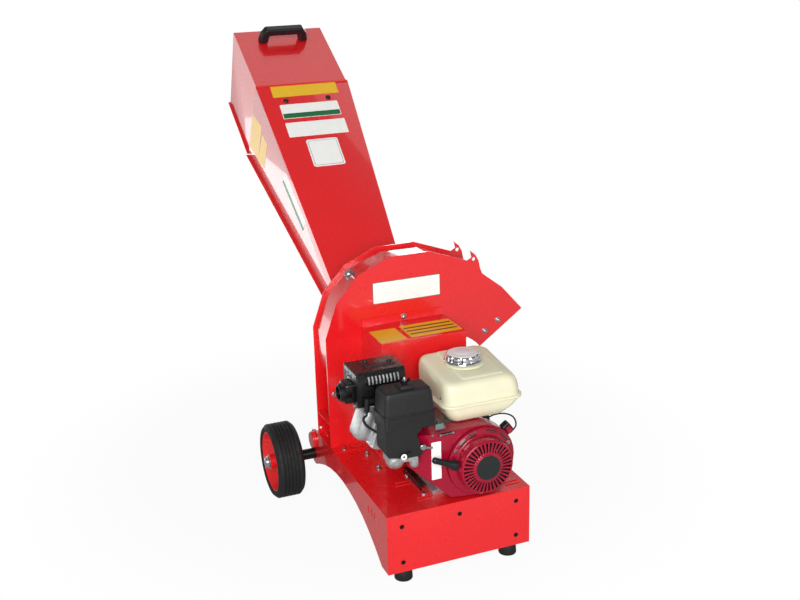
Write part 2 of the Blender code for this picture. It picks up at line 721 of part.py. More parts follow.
def build_driven_pulley():
    bm = bmesh.new()
    add_turned(bm, pulley_profile(DRIVEN_RADIUS, SHAFT_RADIUS + GAP), (0, PULLEY_FRONT, ROTOR_Z),
               (0, 1, 0), MEDIUM, ring=True)
    finish("driven_pulley", bm, ALLOY, (0, PULLEY_FRONT, ROTOR_Z))


def build_drive_pulley():
    """Grooved pulley whose hub reaches back over the end of the crankshaft."""
    pivot = (CRANK_X, PULLEY_FRONT, CRANK_Z)
    hub_front = CASE_BACK + 0.0155 - PULLEY_FRONT
    shaft_end = CRANK_BACK + GAP - PULLEY_FRONT
    bore = PTO_RADIUS + GAP
    grooves = pulley_profile(DRIVE_RADIUS, 0.0)[1:-1]
    profile = [(0, shaft_end), (bore, shaft_end), (bore, hub_front), (0.022, hub_front), (0.022, 0)]
    bm = bmesh.new()
    add_turned(bm, profile + grooves + [(0, PULLEY_WIDTH)], pivot, (0, 1, 0), MEDIUM)
    finish("drive_pulley", bm, ALLOY, pivot)


def belt_path(radius_a, radius_b, steps=10):
    """Closed line round both pulleys as (x, z), from their centres and belt radii."""
    a = Vector((0.0, ROTOR_Z))
    b = Vector((CRANK_X, CRANK_Z))
    line = b - a
    lean = atan2(line.y, line.x)
    touch = acos((radius_a - radius_b) / line.length)
    points = []
    for centre, radius, start, turn in ((b, radius_b, lean - touch, 2 * touch),
                                        (a, radius_a, lean + touch, 2 * (pi - touch))):
        for i in range(steps + 1):
            t = start + turn * i / steps
            points.append((centre.x + radius * cos(t), centre.y + radius * sin(t)))
    return points


def build_belt():
    bm = bmesh.new()
    top_half = BELT_TOP_WIDTH / 2 - BELT_SUNK * GROOVE_SLOPE
    low_half = top_half - BELT_HEIGHT * GROOVE_SLOPE
    middle = PULLEY_FRONT + PULLEY_WIDTH / 2
    outer = belt_path(DRIVEN_RADIUS - BELT_SUNK, DRIVE_RADIUS - BELT_SUNK)
    inner = belt_path(DRIVEN_RADIUS - BELT_SUNK - BELT_HEIGHT, DRIVE_RADIUS - BELT_SUNK - BELT_HEIGHT)
    rings = []
    for (ox, oz), (ix, iz) in zip(outer, inner):
        rings.append([bm.verts.new((ox, middle - top_half, oz)), bm.verts.new((ox, middle + top_half, oz)),
                      bm.verts.new((ix, middle + low_half, iz)), bm.verts.new((ix, middle - low_half, iz))])
    for ring, following in zip(rings, rings[1:] + rings[:1]):
        for k in range(4):
            j = (k + 1) % 4
            bm.faces.new((ring[k], ring[j], following[j], following[k]))
    finish("v_belt", bm, RUBBER)


def build_belt_guard():
    deck = TRAY_TOP + GAP
    back = FRONT_Y - GAP
    bm = bmesh.new()
    corners = [(GUARD_LEFT, back), (GUARD_LEFT, GUARD_FRONT), (GUARD_RIGHT, GUARD_FRONT),
               (GUARD_RIGHT, back)]
    low = [bm.verts.new((x, y, deck + 0.0045 if y > 0.4 else deck)) for x, y in corners]
    high = [bm.verts.new((x, y, GUARD_TOP)) for x, y in corners]
    for i in range(3):
        bm.faces.new((low[i], low[i + 1], high[i + 1], high[i]))
    bm.faces.new(high)
    guard = finish_sheet("belt_guard", bm, RED_PAINT, towards=(0.02, 0.40, 0.40))
    thicken(guard, GUARD_SHEET)
    flange = bmesh.new()
    add_box(flange, (GUARD_LEFT, back - GUARD_SHEET, GUARD_TOP - GUARD_SHEET / 2),
            (GUARD_RIGHT, back, GUARD_TOP + 0.022))
    weld(guard, flange)
    drill(guard, [(GUARD_BOLT[0], back, GUARD_BOLT[1])], (0, 1, 0), BOLT_HOLE, 0.02, 8)
    drill(guard, [(CRANK_X, GUARD_FRONT, CRANK_Z)], (0, 1, 0), 0.027, 0.02, MEDIUM)
    notch = bmesh.new()
    add_box(notch, (GUARD_LEFT - 0.02, FRONT_Y - 0.0385, deck - 0.01),
            (GUARD_RIGHT + 0.02, back + 0.01, deck + PLATE + GAP))
    cut(guard, notch)


# Chute

CHUTE_BOLTS = ((-0.124, 0.610), (0.124, 0.610), (-0.124, 0.520), (0.124, 0.520))


def chute_points():
    """Side view of the chute as (y, z): funnel foot, funnel bend and hood mouth, front then back."""
    foot_front = Vector(CHUTE_START)
    foot_back = Vector((CHUTE_START[0], INFEED_LOW))
    way = Vector((sin(CHUTE_TILT), cos(CHUTE_TILT)))
    bend_front = foot_front + way * CHUTE_LENGTH
    bend_back = bend_front + Vector((sin(CHUTE_RIM_TILT), -cos(CHUTE_RIM_TILT))) * CHUTE_TOP_DEPTH
    mouth_front = bend_front + Vector((sin(HOOD_TILT), cos(HOOD_TILT))) * HOOD_LENGTH
    mouth_back = mouth_front + Vector((sin(HOOD_MOUTH_TILT), -cos(HOOD_MOUTH_TILT))) * HOOD_MOUTH
    return foot_front, foot_back, bend_front, bend_back, mouth_front, mouth_back


def add_duct(bm, sections):
    """Open four-walled duct through rectangular sections of (half width, front, back)."""
    rings = []
    for half, front, back in sections:
        rings.append([bm.verts.new((-half, front.x, front.y)), bm.verts.new((half, front.x, front.y)),
                      bm.verts.new((half, back.x, back.y)), bm.verts.new((-half, back.x, back.y))])
    for ring, following in zip(rings, rings[1:]):
        for k in range(4):
            j = (k + 1) % 4
            bm.faces.new((ring[k], ring[j], following[j], following[k]))


def weld_lips(duct, low, low_half, high, high_half):
    """Strips that carry a rear wall out past both side walls, from its low to its high end."""
    run = (high - low).normalized()
    sunk = Vector((0.0, -run.y, run.x))
    if sunk.z < 0:
        sunk = -sunk
    start = sunk * GAP
    strips = bmesh.new()
    for side in (-1, 1):
        inside = -CHUTE_SHEET / 2
        corners = [Vector((side * (half + out), end.x, end.y)) + start
                   for half, end, out in ((low_half, low, inside), (high_half, high, inside),
                                          (high_half, high, CHUTE_LIP), (low_half, low, CHUTE_LIP))]
        add_slab(strips, corners, sunk * (CHUTE_SHEET - 2 * GAP))
    weld(duct, strips)


def build_funnel():
    foot_front, foot_back, bend_front, bend_back, _, _ = chute_points()
    bm = bmesh.new()
    add_duct(bm, ((CHUTE_BOTTOM_HALF, foot_front, foot_back), (CHUTE_TOP_HALF, bend_front, bend_back)))
    middle = (foot_front + bend_back) / 2
    funnel = finish_sheet("chute_funnel", bm, RED_PAINT, towards=(0, middle.x, middle.y))
    thicken(funnel, CHUTE_SHEET)
    foot = foot_back.lerp(bend_back, 0.001)
    weld_lips(funnel, foot, CHUTE_BOTTOM_HALF, bend_back, CHUTE_TOP_HALF)
    flange = bmesh.new()
    back = BACK_Y + GAP
    add_box(flange, (-0.138, back, INFEED_LOW - 0.018), (0.138, back + PLATE, INFEED_HIGH + 0.030))
    weld(funnel, flange)
    hole = bmesh.new()
    inner = CHUTE_BOTTOM_HALF - CHUTE_SHEET / 2
    add_box(hole, (-inner, back - 0.01, INFEED_LOW + 0.0025),
            (inner, back + PLATE + GAP, INFEED_HIGH - 0.006))
    cut(funnel, hole)
    drill(funnel, [(x, back, z) for x, z in CHUTE_BOLTS], (0, 1, 0), BOLT_HOLE, 0.02, 8)


def build_hood():
    _, _, bend_front, bend_back, mouth_front, mouth_back = chute_points()
    foot_front, foot_back = chute_points()[:2]
    inset = CHUTE_SHEET + GAP + 0.0005
    across = (bend_back - bend_front).normalized()
    half = CHUTE_TOP_HALF - inset
    front = bend_front + across * inset
    back = bend_back - across * inset
    share = HOOD_LAP / (bend_front - foot_front).length
    low_front = bend_front.lerp(foot_front, share) + across * inset
    low_back = bend_back.lerp(foot_back, share) - across * (inset + 0.0006)
    low_half = CHUTE_TOP_HALF + (CHUTE_BOTTOM_HALF - CHUTE_TOP_HALF) * share - inset - 0.0002
    bm = bmesh.new()
    add_duct(bm, ((low_half, low_front, low_back), (half, front, back), (half, mouth_front, mouth_back)))
    middle = (bend_front + bend_back + mouth_front + mouth_back) / 4
    hood = finish_sheet("chute_hood", bm, RED_PAINT, towards=(0, middle.x, middle.y))
    thicken(hood, CHUTE_SHEET)
    weld_lips(hood, back.lerp(mouth_back, 0.012), half, mouth_back, half)
    drill(hood, handle_holes(), hood_normal(), 0.0033, 0.010, 12)


def hood_normal():
    return Vector((0, -cos(HOOD_TILT), sin(HOOD_TILT)))


def handle_holes():
    _, _, bend_front, _, mouth_front, _ = chute_points()
    spot = bend_front.lerp(mouth_front, HANDLE_SHARE)
    return [(side * HANDLE_SPAN / 2, spot.x, spot.y) for side in (-1, 1)]


HANDLE_SPAN = 0.150
HANDLE_SHARE = 0.80
HANDLE_HEIGHT = 0.055
HANDLE_WIDTH = 0.028
HANDLE_THICK = 0.020


def build_handle():
    """Bow handle swept on a rounded arch and set on the hood's front wall."""
    bm = bmesh.new()
    span = HANDLE_SPAN / 2 + 0.012
    top = HANDLE_HEIGHT
    outer = [(-span, 0), (-span + 0.008, top * 0.62), (-span + 0.026, top), (span - 0.026, top),
             (span - 0.008, top * 0.62), (span, 0)]
    inner = [(span - 0.026, 0), (span - 0.030, top * 0.50), (span - 0.038, top - HANDLE_THICK),
             (-span + 0.038, top - HANDLE_THICK), (-span + 0.030, top * 0.50), (-span + 0.026, 0)]
    add_prism(bm, outer + inner, "y", -HANDLE_WIDTH / 2, HANDLE_WIDTH / 2)
    long_edges = [e for e in bm.edges if abs((e.verts[0].co - e.verts[1].co).y) < 1e-6
                  and max(e.verts[0].co.z, e.verts[1].co.z) > 1e-4]
    bmesh.ops.bevel(bm, geom=long_edges, offset=0.005, segments=2, profile=0.5, affect="EDGES",
                    material=-1)
    handle = finish("carry_handle", bm, BLACK_PLASTIC)
    for side in (-1, 1):
        pin = bmesh.new()
        add_rod(pin, (side * HANDLE_SPAN / 2, 0, -0.008), (side * HANDLE_SPAN / 2, 0, 0.004), 0.003, 8)
        weld(handle, pin)
    normal = hood_normal()
    up = Vector((0, sin(HOOD_TILT), cos(HOOD_TILT)))
    turn = Matrix((Vector((1, 0, 0)), up, normal)).transposed()
    _, _, bend_front, _, mouth_front, _ = chute_points()
    spot = bend_front.lerp(mouth_front, HANDLE_SHARE)
    handle.data.transform(Matrix.Translation(Vector((0, spot.x, spot.y)) + normal * GAP) @ turn.to_4x4())


# Engine

CRANK_BACK = CASE_BACK + 0.061
CRANK = (CRANK_X, 0.0, CRANK_Z)


def leaned(along, up, y=0.0):
    """Point at a distance along the cylinder's axis from the crankshaft and above that axis."""
    way = Vector((-cos(CYLINDER_LEAN), 0, sin(CYLINDER_LEAN)))
    rise = Vector((sin(CYLINDER_LEAN), 0, cos(CYLINDER_LEAN)))
    return Vector((CRANK_X, y, CRANK_Z)) + way * along + rise * up


CYLINDER_FOOT = 0.095
HEAD_START = 0.222
COVER_START = 0.278
COVER_END = 0.325
TANK_BOTTOM = 0.427


def build_crankcase():
    deck = TRAY_TOP + GAP
    a = leaned(CYLINDER_FOOT - GAP, 0.046)
    b = leaned(CYLINDER_FOOT - GAP, -0.046)
    outline = [(CRANK_X - 0.120, deck), (CRANK_X + 0.105, deck), (CRANK_X + 0.105, deck + 0.011),
               (CRANK_X + 0.085, deck + 0.018), (CRANK_X + 0.088, CRANK_Z + 0.020),
               (CRANK_X + 0.072, CRANK_Z + 0.058), (CRANK_X + 0.040, CRANK_Z + 0.074),
               (CRANK_X - 0.030, CRANK_Z + 0.082), (a.x, a.z), (b.x, b.z),
               (CRANK_X - 0.100, CRANK_Z - 0.050), (CRANK_X - 0.103, deck + 0.016),
               (CRANK_X - 0.120, deck + 0.011)]
    bm = bmesh.new()
    add_prism(bm, outline, "y", CASE_FRONT, CASE_BACK)
    case = finish("crankcase", bm, ALLOY, smooth=False)
    extra = bmesh.new()
    add_turned(extra, ((0, CASE_BACK - 0.01), (0.060, CASE_BACK - 0.01), (0.060, CASE_BACK + 0.004),
                       (0.050, CASE_BACK + 0.006), (0.030, CASE_BACK + 0.013), (0, CASE_BACK + 0.013)),
               CRANK, (0, 1, 0), MEDIUM)
    weld(case, extra)
    pads = bmesh.new()
    for y in (0.090, 0.170):
        add_box(pads, (CRANK_X - 0.034, y, CRANK_Z + 0.05), (CRANK_X + 0.036, y + 0.016, TANK_BOTTOM - GAP))
    weld(case, pads)
    drill(case, [(CRANK_X, 0.15, CRANK_Z)], (0, 1, 0), CRANK_RADIUS + RUN, 0.12, MEDIUM)
    filler = bmesh.new()
    spot = Vector(dipstick_place())
    add_rod(filler, spot - Vector((0, 0.030, 0)), spot, 0.014)
    weld(case, filler)
    hole = bmesh.new()
    add_rod(hole, spot - Vector((0, 0.024, 0)), spot + Vector((0, 0.01, 0)), 0.0110)
    cut(case, hole)


def dipstick_place():
    return (CRANK_X - 0.078, CASE_BACK + 0.008, TRAY_TOP + 0.050)


def build_dipstick():
    spot = Vector(dipstick_place())
    bm = bmesh.new()
    profile = [(0, 0.020), (0.010, 0.020), (0.010, -GAP), (0.0155, -GAP), (0.0155, -0.008),
               (0.013, -0.011), (0.006, -0.011), (0.006, -0.016), (0, -0.016)]
    add_turned(bm, profile, spot, (0, -1, 0), SMALL)
    finish("oil_dipstick", bm, GREY_PLASTIC, spot)


def comb_outline(start, end, core, fin, pitch, blade):
    """Closed outline of a finned barrel in (along, up): a core with evenly spaced fins."""
    top = [(start, core)]
    place = start + pitch * 0.6
    while place + blade < end:
        top += [(place, core), (place, fin), (place + blade, fin), (place + blade, core)]
        place += pitch
    top += [(end, core)]
    return top + [(a, -b) for a, b in reversed(top)]


def build_cylinder():
    outline = comb_outline(CYLINDER_FOOT, HEAD_START + 0.001, 0.038, 0.055, 0.012, 0.004)
    bm = bmesh.new()
    points = [leaned(a, b) for a, b in outline]
    add_prism(bm, [(p.x, p.z) for p in points], "y", CYLINDER_Y - 0.048, CYLINDER_Y + 0.048)
    barrel = finish("cylinder_and_head", bm, ALLOY, smooth=False)
    head = bmesh.new()
    corners = [leaned(a, b) for a, b in ((HEAD_START, -0.052), (HEAD_START, 0.052),
                                         (COVER_START - GAP, 0.052), (COVER_START - GAP, -0.052))]
    add_prism(head, [(p.x, p.z) for p in corners], "y", CYLINDER_Y - 0.050, CYLINDER_Y + 0.050)
    weld(barrel, head)
    port = bmesh.new()
    x, y = exhaust_place()
    add_rod(port, (x, y, CRANK_Z + 0.125), (x, y, MUFFLER_LOW - GAP), 0.017, MEDIUM)
    weld(barrel, port)


def exhaust_place():
    spot = leaned((HEAD_START + COVER_START) / 2, 0.0)
    return spot.x + 0.012, CYLINDER_Y + 0.020


def build_head_cover():
    """Rounded rocker cover made as a bevelled block and then leaned over."""
    bm = bmesh.new()
    add_box(bm, (COVER_START, CYLINDER_Y - 0.036, -0.044), (COVER_END, CYLINDER_Y + 0.036, 0.044),
            0.014, 2)
    flat = Matrix(((-cos(CYLINDER_LEAN), 0, sin(CYLINDER_LEAN)), (0, 1, 0),
                   (sin(CYLINDER_LEAN), 0, cos(CYLINDER_LEAN))))
    bmesh.ops.transform(bm, matrix=Matrix.Translation(CRANK) @ flat.to_4x4(), verts=bm.verts)
    cover = finish("rocker_cover", bm, ALLOY)
    rib = bmesh.new()
    corners = [leaned(a, b) for a, b in ((COVER_START, -0.047), (COVER_START, 0.047),
                                         (COVER_START + 0.006, 0.047), (COVER_START + 0.006, -0.047))]
    add_prism(rib, [(p.x, p.z) for p in corners], "y", CYLINDER_Y - 0.039, CYLINDER_Y + 0.039)
    weld(cover, rib)


def build_crankshaft():
    pivot = (CRANK_X, CASE_BACK, CRANK_Z)
    bm = bmesh.new()
    add_turned(bm, ((0, 0.012), (CRANK_RADIUS, 0.012), (CRANK_RADIUS, CASE_BACK + 0.014),
                    (PTO_RADIUS, CASE_BACK + 0.015), (PTO_RADIUS, CRANK_BACK), (0, CRANK_BACK)),
               CRANK, (0, 1, 0), MEDIUM)
    finish("crankshaft", bm, STEEL, pivot)


def build_flywheel():
    pivot = (CRANK_X, 0.030, CRANK_Z)
    bore = CRANK_RADIUS + GAP
    bm = bmesh.new()
    add_turned(bm, ((bore, 0.058), (bore, 0.014), (0.036, 0.014), (0.036, -0.004), (0.040, -0.004),
                    (0.040, 0.034), (0.088, 0.036), (0.088, 0.058)), CRANK, (0, 1, 0), MEDIUM, ring=True)
    wheel = finish("flywheel", bm, ALLOY, pivot)
    vanes = bmesh.new()
    for i in range(FLYWHEEL_VANES):
        turn = 2 * pi * i / FLYWHEEL_VANES
        blade = bmesh.new()
        add_box(blade, (0.052, 0.0185, -0.0015), (0.085, 0.040, 0.0015))
        bmesh.ops.rotate(blade, cent=(0, 0, 0), matrix=Matrix.Rotation(turn, 3, "Y"), verts=blade.verts)
        bmesh.ops.translate(blade, vec=CRANK, verts=blade.verts)
        mesh = bpy.data.meshes.new("blade")
        blade.to_mesh(mesh)
        blade.free()
        vanes.from_mesh(mesh)
        bpy.data.meshes.remove(mesh)
    weld(wheel, vanes)


def shroud_outline(inset=0.0):
    """Front view of the fan shroud as (x, z), pulled in by inset."""
    radius = SHROUD_RADIUS - inset
    round_part = arc((CRANK_X, CRANK_Z), radius, 90, -90, 16)
    low = TRAY_TOP + 0.0025 + inset
    edge = WING_BEND - 0.046 + inset
    left = [(-0.020, low + 0.009), (-0.078, 0.279 + inset * 0.8), (edge, 0.318 + inset * 0.4),
            (edge, 0.405 - inset * 0.5), (WING_BEND, 0.421 - inset)]
    return round_part + left


def shroud_wing(set_back):
    """Wedge that trims the shroud where its left side bends back, moved back by set_back."""
    bend = WING_BEND + (set_back * 0.4 if set_back else 0.0)
    y = SHROUD_FRONT + set_back
    run = 0.090
    bm = bmesh.new()
    add_prism(bm, ((bend, y), (bend - run, y + run), (bend - run, -0.05), (bend, -0.05)), "z", 0.15, 0.50)
    return bm


def build_shroud():
    back = CASE_FRONT - GAP
    bm = bmesh.new()
    add_prism(bm, shroud_outline(), "y", SHROUD_FRONT, back)
    shroud = finish("fan_shroud", bm, CRIMSON)
    cut(shroud, shroud_wing(0.0))
    bm = bmesh.new()
    add_prism(bm, shroud_outline(SHROUD_SHEET), "y", SHROUD_FRONT + SHROUD_SHEET, back + 0.02)
    core = finish("core", bm, CRIMSON)
    cut(core, shroud_wing(SHROUD_SHEET))
    inner = bmesh.new()
    inner.from_mesh(core.data)
    bpy.data.objects.remove(core, do_unlink=True)
    cut(shroud, inner)
    drill(shroud, [(CRANK_X, SHROUD_FRONT, CRANK_Z)], (0, 1, 0), 0.076, 0.01, LARGE)


def build_recoil_cover():
    """Dished cover with a ring of radial slots and a flat flange."""
    back = SHROUD_FRONT - GAP
    wall = 0.0025
    front = DOME_FRONT
    inner = [(0, front + wall - 0.002), (SLOT_INNER - 0.003, front + wall), (SLOT_OUTER, front + wall),
             (DOME_RADIUS - wall, front + 0.012), (DOME_RADIUS - wall, back)]
    outer = [(RECOIL_RADIUS, back), (RECOIL_RADIUS, back - 0.006), (RECOIL_RADIUS - 0.005, back - 0.011),
             (DOME_RADIUS, back - 0.013), (DOME_RADIUS, front + 0.008), (SLOT_OUTER + 0.001, front),
             (SLOT_INNER - 0.002, front - 0.001), (0.038, front - DOME_CROWN), (0, front - DOME_CROWN)]
    bm = bmesh.new()
    add_turned(bm, inner + outer, CRANK, (0, 1, 0), SLOT_COUNT)
    cover = finish("recoil_cover", bm, CRIMSON)
    slots = bmesh.new()
    for i in range(SLOT_COUNT):
        turn = Matrix.Rotation(pi / 2 + 2 * pi * (i + 0.5) / SLOT_COUNT, 4, "Y")
        corners = [(SLOT_INNER, -0.0018), (SLOT_OUTER, -0.0030), (SLOT_OUTER, 0.0030), (SLOT_INNER, 0.0018)]
        add_slab(slots, [Vector(CRANK) + turn @ Vector((r, front - 0.01, s)) for r, s in corners],
                 Vector((0, 0.020, 0)))
    cut(cover, slots)


def build_starter_grip():
    """Tapered grip on its rope; both slide out along the rope."""
    pull = Vector((-cos(GRIP_LEAN), 0, sin(GRIP_LEAN)))
    seat = grip_seat()
    bm = bmesh.new()
    add_turned(bm, ((0, 0.022), (0.0028, 0.022), (0.0028, 0.000), (0.011, 0.002), (0.014, 0.010),
                    (0.0135, 0.018), (0.0095, 0.032), (0.0085, 0.060), (0.009, 0.076), (0.006, 0.081),
                    (0, 0.082)), seat, pull, SMALL)
    grip = finish("starter_grip", bm, BLACK_PLASTIC, seat)
    rope = bmesh.new()
    add_rod(rope, seat - pull * ROPE_INSIDE, seat + pull * 0.0235, ROPE_RADIUS, 8)
    weld(grip, rope)


GRIP_LEAN = radians(24)
ROPE_RADIUS = 0.0022
ROPE_INSIDE = 0.108     # rope that is still inside the cover when the grip rests


def grip_seat():
    """Where the grip rests on the recoil cover's edge."""
    pull = Vector((-cos(GRIP_LEAN), 0, sin(GRIP_LEAN)))
    offset = 0.0205
    side = Vector((sin(GRIP_LEAN), 0, cos(GRIP_LEAN)))
    reach = ((DOME_RADIUS + 0.0005) ** 2 - offset ** 2) ** 0.5
    return Vector((CRANK_X, -0.019, CRANK_Z)) - side * offset + pull * (reach + 0.0012)


def cut_rope_hole():
    pull = Vector((-cos(GRIP_LEAN), 0, sin(GRIP_LEAN)))
    seat = grip_seat()
    tool = bmesh.new()
    add_rod(tool, seat - pull * 0.030, seat + pull * 0.010, ROPE_RADIUS + RUN, 8)
    cut(bpy.data.objects["recoil_cover"], tool)


# Fuel tank, levers and switch

TANK_SECTIONS = ((0.427, 0.006, 0.150, 0.058, 0.222, 0.020), (0.432, -0.002, 0.160, 0.050, 0.230, 0.026),
                 (0.470, -0.016, 0.202, 0.042, 0.248, 0.030), (0.473, -0.020, 0.206, 0.038, 0.252, 0.032),
                 (0.479, -0.020, 0.206, 0.038, 0.252, 0.032), (0.482, -0.016, 0.202, 0.042, 0.248, 0.030),
                 (0.515, -0.014, 0.196, 0.046, 0.246, 0.032), (0.535, -0.010, 0.184, 0.056, 0.240, 0.034),
                 (0.547, 0.000, 0.168, 0.072, 0.228, 0.034), (0.5525, 0.016, 0.148, 0.090, 0.212, 0.030))
CAP_X = 0.087
CAP_Y = 0.160


def rounded_rectangle(x0, x1, y0, y1, radius, steps=3):
    points = []
    for cx, cy, start in ((x1 - radius, y1 - radius, 0), (x0 + radius, y1 - radius, 90),
                          (x0 + radius, y0 + radius, 180), (x1 - radius, y0 + radius, 270)):
        points += arc((cx, cy), radius, start, start + 90, steps)
    return points


def add_loft(bm, sections):
    """Closed body through level rounded rectangles of (z, x0, x1, y0, y1, corner radius)."""
    rings = [[bm.verts.new((x, y, z)) for x, y in rounded_rectangle(x0, x1, y0, y1, radius)]
             for z, x0, x1, y0, y1, radius in sections]
    for ring, following in zip(rings, rings[1:]):
        for k in range(len(ring)):
            j = (k + 1) % len(ring)
            bm.faces.new((ring[k], ring[j], following[j], following[k]))
    bm.faces.new(list(reversed(rings[0])))
    bm.faces.new(rings[-1])


def build_tank():
    bm = bmesh.new()
    add_loft(bm, TANK_SECTIONS)
    tank = finish("fuel_tank", bm, CREAM)
    neck = bmesh.new()
    top = TANK_SECTIONS[-1][0]
    add_turned(neck, ((0, top - 0.006), (0.052, top - 0.006), (0.046, top + 0.003), (0, top + 0.003)),
               (CAP_X, CAP_Y, 0), (0, 0, 1), MEDIUM)
    weld(tank, neck)
    hole = bmesh.new()
    add_rod(hole, (CAP_X, CAP_Y, top - 0.020), (CAP_X, CAP_Y, top + 0.02), 0.022, MEDIUM)
    cut(tank, hole)
    seat = top + 0.003 + GAP
    bm = bmesh.new()
    profile = [(0, -0.012), (0.020, -0.012), (0.020, 0), (0.049, 0), (0.050, 0.004), (0.046, 0.017),
               (0.034, 0.023), (0, 0.0215)]
    add_turned(bm, profile, (CAP_X, CAP_Y, seat), (0, 0, 1), 36)
    for vert in bm.verts:
        flat = Vector((vert.co.x - CAP_X, vert.co.y - CAP_Y, 0))
        high = vert.co.z - seat
        if 0.002 < high < 0.021 and flat.length > 0.040:
            wave = 1.0 + 0.022 * cos(12 * atan2(flat.y, flat.x))
            vert.co.x = CAP_X + flat.x * wave
            vert.co.y = CAP_Y + flat.y * wave
    finish("fuel_cap", bm, CHROME, (CAP_X, CAP_Y, seat))


AIR_LEFT = -0.205
AIR_RIGHT = -0.062
AIR_LEAN = 0.009         # slope of the cover's right side from seam to top
AIR_FRONT = 0.012
AIR_BACK = 0.100
AIR_SEAM = 0.487
AIR_TOP = 0.553
AIR_BOTTOM = 0.366
PANEL_RIGHT = -0.100     # right edge of the lever panel under the tray
WING_X = -0.130
WING_Y = 0.058
BOSS_HEIGHT = 0.006


def room_for_wing():
    """Space behind the lever panel that the shroud's slanted wing passes through."""
    gap = 0.003
    bm = bmesh.new()
    x = WING_BEND - gap
    outline = [(x + 0.02, SHROUD_FRONT - 0.02), (x - 0.055, SHROUD_FRONT + 0.055),
               (x - 0.055, AIR_BACK), (x + 0.02, AIR_BACK)]
    add_prism(bm, outline, "z", AIR_BOTTOM - 0.01, SHROUD_TOP + gap)
    return bm


def build_air_cleaner():
    bm = bmesh.new()
    notch = arc((PANEL_RIGHT - 0.002, 0.425), 0.014, 100, 220, 4)
    outline = [(AIR_LEFT, AIR_SEAM - 0.030), (AIR_LEFT, AIR_BOTTOM + 0.022),
               (AIR_LEFT + 0.006, AIR_BOTTOM + 0.012), (AIR_LEFT + 0.048, AIR_BOTTOM),
               (PANEL_RIGHT - 0.008, AIR_BOTTOM), (PANEL_RIGHT, AIR_BOTTOM + 0.010)] + notch[::-1] + [
               (PANEL_RIGHT, AIR_SEAM - 0.030)]
    add_prism(bm, outline, "y", AIR_FRONT, AIR_BACK - 0.020)
    base = finish("air_cleaner_base", bm, GREY_PLASTIC, smooth=False)
    cut(base, room_for_wing())
    shelf = bmesh.new()
    add_box(shelf, (AIR_LEFT, AIR_FRONT, AIR_SEAM - 0.040), (AIR_RIGHT, AIR_BACK, AIR_SEAM - GAP),
            0.006, 2, "z")
    weld(base, shelf)
    stud = bmesh.new()
    add_rod(stud, (WING_X, WING_Y, AIR_SEAM - 0.015), (WING_X, WING_Y, AIR_TOP + 0.020), 0.0029, 8)
    weld(base, stud)

    bm = bmesh.new()
    levels = ((AIR_SEAM, 0.001, 0.009), (AIR_SEAM + 0.012, 0.001, 0.009), (AIR_SEAM + 0.0125, 0.0, 0.008),
              (AIR_TOP - 0.008, -0.001, 0.008), (AIR_TOP, -0.008, 0.006))
    add_loft(bm, [(z, AIR_LEFT - grow, AIR_RIGHT + grow - AIR_LEAN * (z - AIR_SEAM) / (AIR_TOP - AIR_SEAM),
                   AIR_FRONT - grow, AIR_BACK + grow, radius) for z, grow, radius in levels])
    cover = finish("air_cleaner_cover", bm, GREY_PLASTIC)
    boss = bmesh.new()
    levels = ((AIR_TOP - 0.002, 0.0), (AIR_TOP + BOSS_HEIGHT - 0.002, 0.0), (AIR_TOP + BOSS_HEIGHT, -0.003))
    add_loft(boss, [(z, WING_X - 0.020 - grow, WING_X + 0.020 + grow, WING_Y - 0.018 - grow,
                     WING_Y + 0.018 + grow, 0.006) for z, grow in levels])
    weld(cover, boss)
    room = bmesh.new()
    wall = 0.0045
    add_box(room, (AIR_LEFT + wall, AIR_FRONT + wall, AIR_SEAM - 0.01),
            (AIR_RIGHT - AIR_LEAN - wall, AIR_BACK - wall, AIR_TOP - 0.006))
    cut(cover, room)
    drill(cover, [(WING_X, WING_Y, AIR_TOP)], (0, 0, 1), 0.0033, 0.02, 12)

    bm = bmesh.new()
    add_turned(bm, ((0.024, 0), (0.036, 0), (0.036, 0.050), (0.024, 0.050)),
               (WING_X, WING_Y, AIR_SEAM + GAP), (0, 0, 1), MEDIUM, ring=True)
    finish("air_filter", bm, CREAM)

    seat = AIR_TOP + BOSS_HEIGHT + GAP
    bm = bmesh.new()
    add_turned(bm, ((0.0033, 0), (0.008, 0), (0.007, 0.010), (0.0033, 0.010)), (WING_X, WING_Y, seat),
               (0, 0, 1), 8, ring=True)
    wing = finish("wing_nut", bm, ZINC, (WING_X, WING_Y, seat))
    wings = bmesh.new()
    for side in (-1, 1):
        outline = [(WING_X + side * 0.0055, seat + 0.001), (WING_X + side * 0.014, seat + 0.006),
                   (WING_X + side * 0.017, seat + 0.015), (WING_X + side * 0.012, seat + 0.017),
                   (WING_X + side * 0.0055, seat + 0.009)]
        add_prism(wings, outline, "y", WING_Y - 0.0015, WING_Y + 0.0015)
    weld(wing, wings)


CARB_TOP = AIR_BOTTOM - GAP
BOWL = (-0.166, 0.052)
CUP = (-0.120, 0.029)


